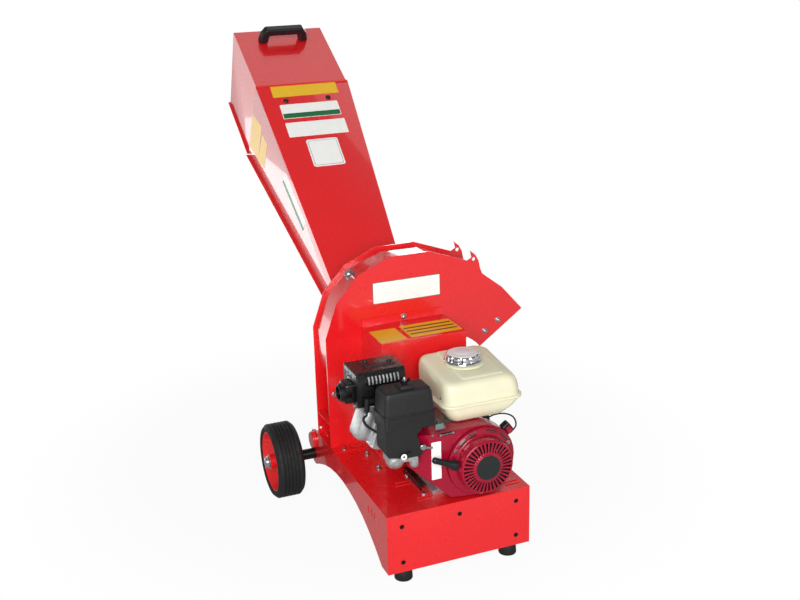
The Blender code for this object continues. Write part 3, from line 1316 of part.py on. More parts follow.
def build_carburettor():
    bm = bmesh.new()
    add_box(bm, (-0.190, 0.030, CARB_TOP - 0.018), (-0.136, 0.078, CARB_TOP))
    body = finish("carburettor", bm, ALLOY)
    riser = bmesh.new()
    add_box(riser, (-0.178, AIR_BACK - 0.020 + GAP, CARB_TOP - 0.016),
            (-0.138, CYLINDER_Y - 0.050 - GAP, 0.385))
    weld(body, riser)
    link = bmesh.new()
    add_box(link, (-0.174, 0.060, CARB_TOP - 0.014), (-0.138, 0.095, CARB_TOP - 0.002))
    weld(body, link)
    bowl = bmesh.new()
    add_turned(bowl, ((0, 0.008), (0.026, 0.008), (0.026, -0.006), (0.020, -0.018), (0.006, -0.024),
                      (0, -0.024)), (*BOWL, CARB_TOP - 0.016), (0, 0, 1), SMALL)
    weld(body, bowl)
    lug = bmesh.new()
    add_box(lug, (-0.140, 0.020, CARB_TOP - 0.014), (-0.112, 0.038, CARB_TOP - 0.002))
    weld(body, lug)
    cup = bmesh.new()
    add_turned(cup, ((0, 0), (0.013, 0), (0.0135, -0.014), (0.011, -0.022), (0, -0.024)),
               (*CUP, CARB_TOP - 0.012), (0, 0, 1), SMALL)
    weld(body, cup)


def build_levers():
    front = AIR_FRONT - GAP
    for name, x, z, lean, reach, look in (("fuel_lever", -0.158, 0.376, -20, 0.024, CREAM),
                                          ("choke_lever", -0.102, 0.392, 15, 0.028, BLACK_PLASTIC)):
        pivot = (x, front, z)
        bm = bmesh.new()
        hub = [(0, 0), (0.009, 0), (0.009, -0.006), (0.007, -0.008), (0, -0.008)]
        add_turned(bm, hub, pivot, (0, 1, 0), 8)
        lever = finish(name, bm, look, pivot)
        arm = bmesh.new()
        add_box(arm, (0, -0.007, -0.0035), (reach, -0.002, 0.0035), 0.001, 1)
        swing = Matrix.Rotation(radians(lean), 3, "Y")
        bmesh.ops.rotate(arm, cent=(0, 0, 0), matrix=swing, verts=arm.verts)
        bmesh.ops.translate(arm, vec=pivot, verts=arm.verts)
        weld(lever, arm)
    top = SHROUD_TOP + GAP
    pivot = (-0.030, 0.040, top)
    bm = bmesh.new()
    add_turned(bm, ((0, 0), (0.008, 0), (0.008, 0.005), (0, 0.005)), pivot, (0, 0, 1), 8)
    lever = finish("throttle_lever", bm, GREY_PLASTIC, pivot)
    arm = bmesh.new()
    add_box(arm, (-0.048, 0.030, top + 0.001), (-0.026, 0.044, top + 0.004))
    weld(lever, arm)
    tab = bmesh.new()
    add_box(tab, (-0.056, 0.027, top + 0.001), (-0.032, 0.031, top + 0.018), 0.001, 1)
    weld(lever, tab)


SWITCH_ANGLE = radians(35)
SWITCH_Y = 0.040


def build_switch():
    out = Vector((cos(SWITCH_ANGLE), 0, sin(SWITCH_ANGLE)))
    turn = Matrix.Rotation(-SWITCH_ANGLE, 3, "Y")
    seat = Vector(CRANK) + out * (SHROUD_RADIUS + GAP)
    bm = bmesh.new()
    add_box(bm, (0, SWITCH_Y - 0.012, -0.015), (0.024, SWITCH_Y + 0.012, 0.015), 0.002, 1)
    bmesh.ops.rotate(bm, cent=(0, 0, 0), matrix=turn, verts=bm.verts)
    bmesh.ops.translate(bm, vec=seat, verts=bm.verts)
    finish("stop_switch", bm, BLACK_PLASTIC)
    front = SWITCH_Y - 0.012 - GAP
    pivot = seat + out * 0.012
    pivot.y = front
    bm = bmesh.new()
    outline = [(-0.010, -0.0020), (0.0, 0.0), (0.010, -0.0020), (0.010, -0.0060), (0.0, -0.0035),
               (-0.010, -0.0070)]
    add_slab(bm, [Vector((-0.007, y, z)) for z, y in outline], Vector((0.014, 0, 0)))
    bmesh.ops.rotate(bm, cent=(0, 0, 0), matrix=turn, verts=bm.verts)
    bmesh.ops.translate(bm, vec=pivot, verts=bm.verts)
    finish("switch_rocker", bm, CRIMSON, pivot, smooth=False)
    down = Vector((sin(SWITCH_ANGLE), 0, -cos(SWITCH_ANGLE)))
    socket = seat + out * 0.013 + down * 0.0155
    socket.y = SWITCH_Y
    route = [(0.122, 0.078, 0.404), (0.137, 0.066, 0.416), (0.157, 0.050, 0.4225),
             (0.178, 0.044, 0.415), (0.189, 0.041, 0.401), (0.191, 0.040, 0.383),
             socket + down * 0.006 + out * 0.006, socket + down * 0.006, socket]
    build_lead("stop_lead", route, 0.0022, RUBBER)


def build_lead(name, route, radius, look, steps=4):
    """A held lead: a round tube along a smooth curve through the route."""
    count = 6 * (len(route) - 1)
    points = []
    for i in range(count + 1):
        t = i / count * (len(route) - 1)
        k = min(int(t), len(route) - 2)
        t -= k
        p0, p1, p2, p3 = (Vector(route[max(0, min(len(route) - 1, k + j))]) for j in (-1, 0, 1, 2))
        points.append(0.5 * ((2 * p1) + (p2 - p0) * t + (2 * p0 - 5 * p1 + 4 * p2 - p3) * t * t
                             + (3 * p1 - p0 - 3 * p2 + p3) * t ** 3))
    line = bpy.data.curves.new(name, "CURVE")
    line.dimensions = "3D"
    line.bevel_depth = radius
    line.bevel_resolution = steps // 2
    line.use_fill_caps = True
    spline = line.splines.new("POLY")
    spline.points.add(len(points) - 1)
    for spot, point in zip(spline.points, points):
        spot.co = (*point, 1.0)
    line.materials.append(look)
    lead = bpy.data.objects.new(name, line)
    lead.parent = ROOT
    bpy.context.scene.collection.objects.link(lead)


# Muffler and ignition

MUFFLER_LEFT = -0.236
MUFFLER_RIGHT = -0.098
MUFFLER_FRONT = 0.125
MUFFLER_BACK = 0.230
MUFFLER_LOW = 0.482
MUFFLER_TOP = 0.577
MUFFLER_CHAMFER = 0.022
MUFFLER_ROOM = 0.006     # air between the muffler and its guard
GUARD_WALL = 0.002
OUTLET = (0.170, 0.517)


def muffler_outline(inset, drop=0.0):
    """Side view of the muffler guard as (y, z), pulled in by inset; drop lengthens it downwards."""
    front = MUFFLER_FRONT + inset
    back = MUFFLER_BACK - inset
    top = MUFFLER_TOP - inset
    low = MUFFLER_LOW - drop
    return [(front, low), (front, top - MUFFLER_CHAMFER + inset * 0.25),
            (front + MUFFLER_CHAMFER * 0.6 - inset * 0.15, top), (back, top), (back, low)]


def build_muffler():
    bm = bmesh.new()
    add_prism(bm, muffler_outline(MUFFLER_ROOM), "x", MUFFLER_LEFT + MUFFLER_ROOM,
              MUFFLER_RIGHT - MUFFLER_ROOM)
    muffler = finish("muffler", bm, BLACK_PAINT, smooth=False)
    pipe = bmesh.new()
    profile = [(0, 0), (0.020, 0), (0.020, 0.022), (0.026, 0.026), (0.026, 0.050), (0.022, 0.056),
               (0.019, 0.056), (0.019, 0.046), (0, 0.046)]
    add_turned(pipe, profile, (MUFFLER_LEFT + 0.014, *OUTLET), (-1, 0, 0), 16)
    weld(muffler, pipe)
    pads = bmesh.new()
    for x in (-0.205, -0.150):
        add_box(pads, (x, 0.160, MUFFLER_TOP - MUFFLER_ROOM - 0.001),
                (x + 0.012, 0.200, MUFFLER_TOP - GUARD_WALL - GAP))
    weld(muffler, pads)

    bm = bmesh.new()
    add_prism(bm, muffler_outline(0.0), "x", MUFFLER_LEFT, MUFFLER_RIGHT)
    guard = finish("muffler_guard", bm, BLACK_PAINT, smooth=False)
    hollow = bmesh.new()
    add_prism(hollow, muffler_outline(GUARD_WALL, 0.02), "x", MUFFLER_LEFT - 0.01,
              MUFFLER_RIGHT - GUARD_WALL)
    cut(guard, hollow)
    slots = bmesh.new()
    for i in range(9):
        x = MUFFLER_LEFT + 0.030 + i * 0.0105
        add_box(slots, (x, MUFFLER_FRONT - 0.01, MUFFLER_TOP - 0.034),
                (x + 0.0045, MUFFLER_FRONT + 0.010, MUFFLER_TOP - 0.012))
    cut(guard, slots)

    bm = bmesh.new()
    left = MUFFLER_LEFT - GAP
    outline = muffler_outline(0.0)
    add_prism(bm, outline, "x", left - 0.003, left)
    plate = finish("muffler_end_plate", bm, ZINC, smooth=False)
    drill(plate, [(left, *OUTLET)], (1, 0, 0), 0.0268, 0.01, 16)
    slots = bmesh.new()
    for i in range(6):
        y = MUFFLER_FRONT + 0.020 + i * 0.013
        add_box(slots, (left - 0.01, y, MUFFLER_TOP - 0.026), (left + 0.01, y + 0.006, MUFFLER_TOP - 0.007))
    cut(plate, slots)


PLUG_Y = 0.1125


def build_ignition():
    """Spark plug, its elbowed cap and the high-tension lead down to the shroud."""
    base = leaned(0.262, 0.052 + GAP)
    base.y = PLUG_Y
    rise = Vector((sin(CYLINDER_LEAN), 0, cos(CYLINDER_LEAN)))
    bm = bmesh.new()
    profile = [(0, 0), (0.009, 0), (0.009, 0.008), (0.005, 0.010), (0.005, 0.026), (0, 0.026)]
    add_turned(bm, profile, base, rise, 6)
    finish("spark_plug", bm, ZINC)
    crown = base + rise * 0.036
    bm = bmesh.new()
    bore = 0.005 + GAP
    profile = [(0, 0.0265), (bore, 0.0265), (bore, 0.012), (0.0085, 0.012), (0.0085, 0.036),
               (0.006, 0.040), (0, 0.040)]
    add_turned(bm, profile, base, rise, SMALL)
    cap = finish("plug_cap", bm, BLACK_PLASTIC)
    elbow = Vector((-0.216, PLUG_Y, crown.z + 0.012))
    arm = bmesh.new()
    add_rod(arm, crown, elbow, 0.0065)
    weld(cap, arm)
    drop = bmesh.new()
    add_rod(drop, elbow + Vector((0, 0, 0.007)), elbow - Vector((0.003, 0, 0.030)), 0.0075)
    weld(cap, drop)
    down = Vector((-0.003, 0, -0.037)).normalized()
    end = elbow + Vector((-0.003, 0, -0.030)) + down * 2 * GAP
    first = end + down * 0.010
    route = [end, first, (-0.231, 0.107, 0.458), (-0.226, 0.103, 0.441), (-0.207, 0.097, 0.424),
             (-0.183, 0.0925, 0.407), (-0.150, 0.090, 0.398), (-0.122, 0.078, 0.392),
             (-0.110, 0.057, 0.388)]
    build_lead("ignition_lead", route, 0.0035, RUBBER)


def build_rail():
    """Channel-section hold-down rail on the deck, left of the engine's foot."""
    deck = TRAY_TOP + GAP
    outline = [(-0.074, deck), (-0.071, deck), (-0.071, deck + 0.014), (-0.056, deck + 0.014),
               (-0.056, deck + 0.017), (-0.074, deck + 0.017)]
    bm = bmesh.new()
    add_prism(bm, outline, "y", 0.100, 0.225)
    finish("hold_down_rail", bm, BLACK_PAINT, smooth=False)


build_tray()
build_feet()
build_axle_frame()
build_axle()
build_wheel("left", -1)
build_wheel("right", 1)
build_plates()
build_rim_band()
build_clamp_bolt()
build_discharge_floor()
build_bearing_housing()
build_rotor()
build_counter_knife()
build_driven_pulley()
build_drive_pulley()
build_belt()
build_belt_guard()
build_funnel()
build_hood()
build_handle()
build_crankcase()
build_dipstick()
build_cylinder()
build_head_cover()
build_crankshaft()
build_flywheel()
build_shroud()
build_recoil_cover()
build_starter_grip()
cut_rope_hole()
build_tank()
build_air_cleaner()
build_carburettor()
build_levers()
build_switch()
build_muffler()
build_ignition()
build_rail()

NUT_END = AXLE_END + GAP + NUT_LENGTH
REAR = chute_points()[5].x
ROOT.location = (-(SPOUT_TIP[0] - NUT_END) / 2, -(REAR + DOME_FRONT - DOME_CROWN) / 2, 0.0)
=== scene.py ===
"""Looks for a petrol garden shredder: finishes, small fasteners, labels and rounded pieces that are
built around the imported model.

Places are written as on the workshop drawing: metres, x from the middle of the tray, y from the
tray's front panel towards the chute, z up from the ground. spot() turns them into scene places.
A profile for turning has rows of (radius, distance along the axis), and a stacked body has levels of
(z, x0, x1, y0, y1, corner radius).
"""
from math import atan2, cos, pi, radians, sin

import bmesh
import bpy
from bpy.props import FloatProperty, FloatVectorProperty, IntProperty, PointerProperty
from mathutils import Matrix, Vector
from mathutils.bvhtree import BVHTree


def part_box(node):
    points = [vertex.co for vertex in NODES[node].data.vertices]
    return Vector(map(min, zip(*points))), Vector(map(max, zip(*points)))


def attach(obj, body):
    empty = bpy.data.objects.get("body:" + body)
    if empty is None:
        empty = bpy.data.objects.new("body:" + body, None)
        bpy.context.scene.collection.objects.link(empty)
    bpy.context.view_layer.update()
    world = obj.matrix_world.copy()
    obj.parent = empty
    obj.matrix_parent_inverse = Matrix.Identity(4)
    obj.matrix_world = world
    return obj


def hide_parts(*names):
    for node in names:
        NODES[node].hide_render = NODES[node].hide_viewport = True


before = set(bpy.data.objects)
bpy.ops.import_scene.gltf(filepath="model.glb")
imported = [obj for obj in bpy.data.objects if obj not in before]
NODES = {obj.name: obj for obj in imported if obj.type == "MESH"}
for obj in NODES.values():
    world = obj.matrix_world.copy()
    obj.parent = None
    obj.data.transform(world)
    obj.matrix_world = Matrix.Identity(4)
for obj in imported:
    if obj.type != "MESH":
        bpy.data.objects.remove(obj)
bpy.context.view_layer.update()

bl_info = {
    "name": "Garden shredder looks",
    "version": (1, 0, 0),
    "blender": (4, 5, 0),
    "location": "View3D > Sidebar > Shredder",
    "description": "Dresses the packed garden shredder with finishes and small parts",
    "category": "Object",
}

TRAY_LOW, TRAY_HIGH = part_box("base_tray")
HOME = Vector(((TRAY_LOW.x + TRAY_HIGH.x) / 2, TRAY_LOW.y, 0.0))

X_AXIS = Vector((1, 0, 0))
Y_AXIS = Vector((0, 1, 0))
Z_AXIS = Vector((0, 0, 1))

# Drawing sizes that several pieces share
DECK = 0.211
FRONT_PLATE = 0.457
GUARD_TOP = 0.587
SHROUD_FRONT = 0.012
CRANK = (0.067, 0.317)
CHUTE_FOOT = (0.5818, 0.59)
CHUTE_TILT = radians(47.9)
CHUTE_LENGTH = 0.911
HOOD_TILT = radians(59.4)
HOOD_LENGTH = 0.314
DECK_SLOTS = ((-0.106, 0.15), (-0.1, 0.168), (-0.084, 0.047), (-0.078, 0.064), (0.176, 0.03),
              (0.181, 0.046))
TOP_VENTS = ((101, 117), (122, 139))
TYRE_GROOVES = 5
STUD = 0.004

# Points closer than COINCIDENT are one, and a label's back lies PROUD of its wall
COINCIDENT = 1e-6
PROUD = 0.0001
WHITE = (1.0, 1.0, 1.0, 1.0)

# The photograph's camera: its place, the directions of its frame and its lens in millimetres
CAMERA_PLACE = (-1.14217, -2.48357, 1.69967)
CAMERA_RIGHT = (0.9261, -0.37632, -0.027)
CAMERA_UP = (0.1423, 0.2821, 0.94878)
CAMERA_LENS = 50.518


def linear(code):
    """A colour of the scene from an sRGB hex code."""
    parts = [int(code[i:i + 2], 16) / 255 for i in (1, 3, 5)]
    return tuple(p / 12.92 if p <= 0.04045 else ((p + 0.055) / 1.055) ** 2.4 for p in parts)


def spot(x, y, z):
    """A drawing place as a scene place."""
    return HOME + Vector((x, y, z))


# Settings that a user would change

def colour(name, code, words):
    """A colour setting whose default is an sRGB hex code."""
    return FloatVectorProperty(name=name, description=words, subtype="COLOR", size=3, min=0.0, max=1.0,
                               default=linear(code))


def length(name, value, words):
    """A length setting in metres."""
    return FloatProperty(name=name, description=words, unit="LENGTH", subtype="DISTANCE", min=0.0,
                         default=value)


class ShredderColours(bpy.types.PropertyGroup):
    """Colours of the finishes."""
    powder: colour("Powder coat", "#E8181E", "Red of the sheet-metal parts")
    enamel: colour("Engine enamel", "#9F0A2D", "Crimson of the fan shroud and starter cover")
    tank: colour("Tank enamel", "#ECE8C8", "Cream of the fuel tank")
    nylon: colour("Filled nylon", "#161618", "Charcoal of the air cleaner")
    moulded: colour("Black ABS", "#121316", "Black of the handle and grip")
    stove: colour("Stove paint", "#0B0B0C", "Black of the muffler and its guard")
    rubber: colour("Rubber", "#0F1011", "Black of the tyres and feet")
    vinyl_white: colour("White vinyl", "#FBFBF7", "White of the bare labels")
    vinyl_yellow: colour("Yellow vinyl", "#EFBF24", "Yellow of the bare labels")


class ShredderSizes(bpy.types.PropertyGroup):
    """Sizes of the small forms."""
    sheet_edge: length("Sheet edge", 0.0007, "Rounding of the folded sheet's edges")
    moulded_edge: length("Moulded edge", 0.0016, "Rounding of the plastic parts' edges")
    cast_edge: length("Cast edge", 0.0012, "Rounding of the castings' edges")
    label_thickness: length("Label thickness", 0.0003, "Thickness of the vinyl labels")
    tyre_groove: length("Tyre groove", 0.0045, "Depth of the grooves round the tyres")
    cap_flutes: IntProperty(name="Cap flutes", description="Grips round the fuel cap", min=4, max=24,
                            default=12)
    cover_slots: IntProperty(name="Cover slots", description="Slots in the starter cover", min=12,
                             max=60, default=36)


def colours():
    """The colour settings as they stand."""
    return bpy.context.scene.shredder_colours


def sizes():
    """The size settings as they stand."""
    return bpy.context.scene.shredder_sizes


# Materials

def add_node(tree, kind, links=None, **settings):
    """Add one shader node, set its own settings and its sockets, and link what is given as a socket."""
    made = tree.nodes.new("ShaderNode" + kind)
    for name, value in settings.items():
        setattr(made, name, value)
    for name, value in (links or {}).items():
        if isinstance(value, bpy.types.NodeSocket):
            tree.links.new(value, made.inputs[name])
        else:
            made.inputs[name].default_value = value
    return made


# Each finish: its tone (a setting or an sRGB code), its shader's constants and its patterns over real
# sizes in millimetres. patches is (share of the tone in the darker patches, grain, detail), bloom
# lightens the paler ones, gloss is (roughness from, to, grain) and relief is (grain, height, strength).
VINYL = dict(Roughness=0.3, IOR=1.5, patches=(0.96, 25.0, 2.0), relief=(12.0, 0.03, 0.4))
FINISHES = {
    # Sprayed and baked powder on steel: bright red, smooth and glossy enough to mirror the handle
    "polyester_powder_coat": dict(tone="powder", Roughness=0.28, IOR=1.5, Coat_Weight=0.9,
            Coat_Roughness=0.04, patches=(0.975, 120.0, 1.0), gloss=(0.26, 0.3, 60.0)),
    # Stoved enamel on pressed steel: deeper and glossier than the powder coat
    "engine_enamel": dict(tone="enamel", Roughness=0.22, IOR=1.45, Specular_IOR_Level=0.35,
            Coat_Weight=0.3, Coat_Roughness=0.05, patches=(0.92, 60.0, 2.0)),
    # Cream enamel on a drawn steel tank: smooth, soft gloss
    "tank_enamel": dict(tone="tank", Roughness=0.3, IOR=1.5, Coat_Weight=0.4, Coat_Roughness=0.15,
            patches=(0.96, 45.0, 2.0), relief=(8.0, 0.05, 0.4)),
    # Moulded with a fine spark-eroded grain about 0.8 mm across, nearly matt
    "glass_filled_nylon": dict(tone="nylon", Roughness=0.6, IOR=1.53, patches=(0.85, 30.0, 2.0),
            gloss=(0.48, 0.62, 12.0), relief=(0.8, 0.05, 0.7)),
    # Moulded handle plastic: satin black that picks up soft white reflections
    "black_abs": dict(tone="moulded", Roughness=0.34, IOR=1.53, gloss=(0.3, 0.42, 8.0),
            relief=(1.0, 0.03, 0.5)),
    # Heat-proof silicone paint: thin, slightly grainy black
    "stove_paint": dict(tone="stove", Roughness=0.3, IOR=1.5, gloss=(0.22, 0.36, 10.0),
            relief=(1.2, 0.02, 0.4)),
    # Solid moulded rubber: matt with a dusty bloom in patches
    "tyre_rubber": dict(tone="rubber", Roughness=0.72, IOR=1.52, bloom=1.5, patches=(0.6, 14.0, 4.0),
            gloss=(0.6, 0.8, 20.0), relief=(1.5, 0.08, 0.6)),
    # Bright zinc on steel fasteners: cool silver with a cloudy passivated film
    "zinc_plate": dict(tone="#C9CBCD", Roughness=0.24, Metallic=1.0, patches=(0.75, 6.0, 3.0),
            gloss=(0.18, 0.3, 4.0)),
    # Decorative chrome: near-mirror with faint polishing haze
    "chrome_plate": dict(tone="#DCDDE0", Roughness=0.15, Metallic=1.0, gloss=(0.1, 0.2, 12.0)),
    # Embossed disc of the fuel cap, plated over a brushed blank: its soft near-white is painted
    # reflection of light overhead, not a mirror
    "satin_chrome": dict(tone="#F4F4F3", Roughness=0.5, Metallic=0.25, gloss=(0.42, 0.55, 5.0)),
    # As-cast skin: pale grey metal with a 1.5 mm pebble and dull gloss
    "die_cast_aluminium": dict(tone="#DEDFE0", Roughness=0.4, Metallic=0.9, patches=(0.8, 9.0, 3.0),
            gloss=(0.34, 0.48, 8.0), relief=(1.5, 0.06, 0.7)),
    # Bare turned or ground steel: a fine tooth and a light oil film
    "turned_steel": dict(tone="#A6A7AA", Roughness=0.25, Metallic=1.0, gloss=(0.2, 0.34, 5.0),
            relief=(0.7, 0.02, 0.4)),
    # Blackened fastener steel: dark, slightly oily
    # Also the painted shade behind the tray's slots, in the shroud's slot and behind the starter
    # cover's slots
    "black_oxide": dict(tone="#1B1B1D", Roughness=0.4, Metallic=0.6, gloss=(0.32, 0.48, 3.0)),
    # Hot-dipped aluminised sheet of the inner muffler: pale, softly mottled
    "aluminised_steel": dict(tone="#E6E7E8", Roughness=0.5, Metallic=0.6, patches=(0.85, 12.0, 3.0),
            gloss=(0.42, 0.55, 8.0)),
    # Starter rope: black braid whose lay is drawn as a 1.2 mm grain
    "braided_nylon": dict(tone="#1A1A1B", Roughness=0.7, IOR=1.5, relief=(1.2, 0.3, 1.0)),
    # Throttle tab: grey-green acetal with a dull gloss
    "grey_polymer": dict(tone="#6F8583", Roughness=0.42, IOR=1.48, patches=(0.9, 6.0, 2.0),
            relief=(0.8, 0.03, 0.5)),
    # Printed vinyl film under a clear laminate: smooth with a slight stretch ripple
    "white_vinyl": dict(tone="vinyl_white", **VINYL),
    "yellow_vinyl": dict(tone="vinyl_yellow", **VINYL),
    "green_vinyl": dict(tone="#0F6B3F", **VINYL),
    # Black vinyl is also the painted shade and painted shadows of the starter cover's vents
    "black_vinyl": dict(tone="#1D2322", **VINYL),
    "grey_vinyl": dict(tone="#A9ADB0", **VINYL),
}
# The record's slot that a finish belongs to, unless a piece names another
SLOTS = {"polyester_powder_coat": "red_powder_coat", "engine_enamel": "crimson_paint",
         "tank_enamel": "cream_paint", "glass_filled_nylon": "charcoal_plastic",
         "grey_polymer": "charcoal_plastic", "black_abs": "black_plastic",
         "stove_paint": "black_heat_paint", "tyre_rubber": "black_rubber", "zinc_plate": "zinc_plate",
         "chrome_plate": "chrome_plate", "satin_chrome": "chrome_plate",
         "die_cast_aluminium": "cast_aluminium", "turned_steel": "bright_steel"}
MADE = {}


def patches_of(tree, place, grain, detail, low=0.0, high=1.0):
    """Soft patches that run from low to high, their grain in millimetres."""
    noise = add_node(tree, "TexNoise", {"Vector": place, "Scale": 1000.0 / grain, "Detail": detail})
    ramp = add_node(tree, "MapRange", {"Value": noise.outputs["Fac"], "From Min": 0.25,
                                       "From Max": 0.75, "To Min": low, "To Max": high},
                    interpolation_type="SMOOTHSTEP")
    return ramp.outputs["Result"]


def make_material(name, tone, patches=None, bloom=1.0, gloss=None, relief=None, **constants):
    """A material as its row in FINISHES says, its constants set on the shader's own sockets."""
    tone = linear(tone) if tone.startswith("#") else tuple(getattr(colours(), tone))
    made = bpy.data.materials.new(name)
    made.use_nodes = True
    tree = made.node_tree
    shader = tree.nodes["Principled BSDF"]
    shader.inputs["Base Color"].default_value = (*tone, 1.0)
    for socket, value in constants.items():
        shader.inputs[socket.replace("_", " ")].default_value = value
    place = add_node(tree, "TexCoord").outputs["Object"]
    if patches:
        darker, grain, detail = patches
        pale = [c * bloom for c in tone]
        dark = [c * darker for c in pale]
        mix = add_node(tree, "Mix", {"Factor": patches_of(tree, place, grain, detail),
                                     "A": (*pale, 1.0), "B": (*dark, 1.0)}, data_type="RGBA")
        tree.links.new(mix.outputs["Result"], shader.inputs["Base Color"])
    if gloss:
        low, high, grain = gloss
        tree.links.new(patches_of(tree, place, grain, 3.0, low, high), shader.inputs["Roughness"])
    if relief:
        grain, height, strength = relief
        noise = add_node(tree, "TexNoise", {"Vector": place, "Scale": 1000.0 / grain, "Detail": 2.0})
        bump = add_node(tree, "Bump", {"Height": noise.outputs["Fac"], "Strength": strength,
                                       "Distance": height / 1000.0})
        tree.links.new(bump.outputs["Normal"], shader.inputs["Normal"])
    return made


def look(name):
    """The material of that name, made the first time it is asked for."""
    if name not in MADE:
        MADE[name] = make_material(name, **FINISHES[name])
    return MADE[name]


# Shapes

def turned(bm, profile, centre, axis, steps=48, closed=False, start_turn=0.0):
    """Spin a profile of (radius, distance along the axis) round an axis through centre."""
    along = Vector(axis).normalized()
    across = Matrix.Rotation(start_turn, 3, along) @ along.orthogonal().normalized()
    points = [bm.verts.new(Vector(centre) + across * r + along * d) for r, d in profile]
    pairs = list(zip(points, points[1:])) + ([(points[-1], points[0])] if closed else [])
    edges = [bm.edges.new(pair) for pair in pairs]
    bmesh.ops.spin(bm, geom=points + edges, cent=Vector(centre), axis=along, dvec=(0, 0, 0),
                   angle=2 * pi, steps=steps, use_merge=True, use_duplicate=False)


def block(bm, low, high, rounding, segments=2):
    """A box between two drawing places, all its edges rounded."""
    low, high = spot(*low), spot(*high)
    made = bmesh.ops.create_cube(bm, size=1.0)["verts"]
    bmesh.ops.scale(bm, vec=high - low, verts=made)
    bmesh.ops.translate(bm, vec=(high + low) / 2, verts=made)
    edges = list({edge for vert in made for edge in vert.link_edges})
    bmesh.ops.bevel(bm, geom=edges, offset=rounding, segments=segments, profile=0.5, affect="EDGES",
                    material=-1)


def bar(bm, start, end, radius, steps):
    """A plain round bar between two places."""
    run = Vector(end) - Vector(start)
    turned(bm, ((0, 0), (radius, 0), (radius, run.length), (0, run.length)), start, run, steps)


def plate(bm, outline, depth, corner=0.0):
    """A flat plate: outline in order, its corners rounded, pushed out by the vector depth."""
    face = bm.faces.new([bm.verts.new(point) for point in outline])
    if corner:
        made = bmesh.ops.bevel(bm, geom=list(face.verts), offset=corner, segments=3, profile=0.5,
                               affect="VERTICES", material=-1)
        face = max((f for v in made["verts"] for f in v.link_faces), key=lambda f: len(f.verts))
    pushed = bmesh.ops.extrude_face_region(bm, geom=[face])["geom"]
    bmesh.ops.translate(bm, vec=depth,
                        verts=[item for item in pushed if isinstance(item, bmesh.types.BMVert)])


def panel(bm, matrix, width, height, depth, corner):
    """A rounded rectangle centred on a plane that matrix gives, pushed out along its third axis."""
    corners = [matrix @ Vector((a * width / 2, b * height / 2, 0))
               for a, b in ((-1, -1), (1, -1), (1, 1), (-1, 1))]
    plate(bm, corners, (matrix.to_3x3() @ Z_AXIS) * depth, corner)


def plane_at(origin, right, up):
    """A matrix whose first two axes lie in a surface and whose third stands out of it."""
    right, up = Vector(right).normalized(), Vector(up).normalized()
    out = right.cross(up)
    made = Matrix((right, up, out)).transposed().to_4x4()
    made.translation = Vector(origin)
    return made


def level_ring(bm, box, radius, z, turn, steps=8):
    """One level rounded rectangle (x0, x1, y0, y1), carried to its place by the matrix turn."""
    x0, x1, y0, y1 = box
    ring = bmesh.ops.create_circle(bm, segments=4 * steps, radius=1.0)["verts"]
    for i, vert in enumerate(ring):
        corner, share = divmod(i, steps)
        angle = (corner + share / (steps - 1)) * pi / 2
        x = x1 - radius if corner in (0, 3) else x0 + radius
        y = y1 - radius if corner in (0, 1) else y0 + radius
        vert.co = turn @ Vector((x + radius * cos(angle), y + radius * sin(angle), z))
    return ring


def stacked(bm, levels, turn=None, steps=8):
    """A closed body through levels of (z, x0, x1, y0, y1, corner radius)."""
    turn = turn or Matrix.Translation(HOME)
    rings = [level_ring(bm, level[1:5], level[5], level[0], turn, steps) for level in levels]
    edges = [list({edge for vert in ring for edge in vert.link_edges}) for ring in rings]
    for lower, upper in zip(edges, edges[1:]):
        bmesh.ops.bridge_loops(bm, edges=lower + upper)
    for ring in (rings[0], rings[-1]):
        bmesh.ops.contextual_create(bm, geom=ring)


def drawn_in(box, rows):
    """Levels of one rectangle (x0, x1, y0, y1), drawn in by rows of (z, inset, corner radius)."""
    x0, x1, y0, y1 = box
    return [(z, x0 + inset, x1 - inset, y0 + inset, y1 - inset, corner) for z, inset, corner in rows]


def eased(levels, parts=4):
    """Extra levels between the given ones along a smooth curve through them."""
    made = []
    for i in range(len(levels) - 1):
        around = (levels[max(i - 1, 0)], levels[i], levels[i + 1], levels[min(i + 2, len(levels) - 1)])
        for k in range(parts):
            t = k / parts
            made.append(tuple(
                b + t * ((c - a) / 2
                         + t * (a - 2.5 * b + 2 * c - d / 2 + t * (1.5 * (b - c) + (d - a) / 2)))
                for a, b, c, d in zip(*around)))
    return made + [levels[-1]]


def arc_bar(bm, centre, radius, width, depth, from_angle, to_angle):
    """A flat bar bent to an arc in the upright plane through centre, standing out to the front."""
    start = radians(from_angle)
    inner, outer = radius - width / 2, radius + width / 2
    corners = [Vector((cos(start) * r, -d, sin(start) * r)) + Vector(centre)
               for r, d in ((inner, 0), (outer, 0), (outer, depth), (inner, depth))]
    face = bm.faces.new([bm.verts.new(corner) for corner in corners])
    bmesh.ops.spin(bm, geom=[face], cent=Vector(centre), axis=Y_AXIS, dvec=(0, 0, 0),
                   angle=-radians(to_angle - from_angle), steps=12, use_duplicate=False)


def hex_bolt(bm, seat, out, across=0.013, washer=0.0085, height=0.0055, stud=0.0, turn=0.3):
    """A hex head on a washer; with a stud it is a nut with the thread's end standing out."""
    seat, out = Vector(seat), Vector(out).normalized()
    base = 0.0016 if washer else 0.0
    if washer:
        turned(bm, ((0, 0), (washer, 0), (washer, 0.0014), (washer - 0.0006, base), (0, base)),
               seat, out, 24)
    rim = across / 2 / cos(pi / 6)
    top = base + height
    turned(bm, ((0, base), (rim, base), (rim, base + height * 0.82), (rim * 0.86, top), (0, top)),
           seat, out, 6, start_turn=turn)
    if stud:
        turned(bm, ((0, top), (stud, top), (stud, top + 0.003), (stud * 0.7, top + 0.0042),
                    (0, top + 0.0042)), seat, out, 16)


def add_object(name, data):
    """A new object in the scene."""
    made = bpy.data.objects.new(name, data)
    bpy.context.scene.collection.objects.link(made)
    return made


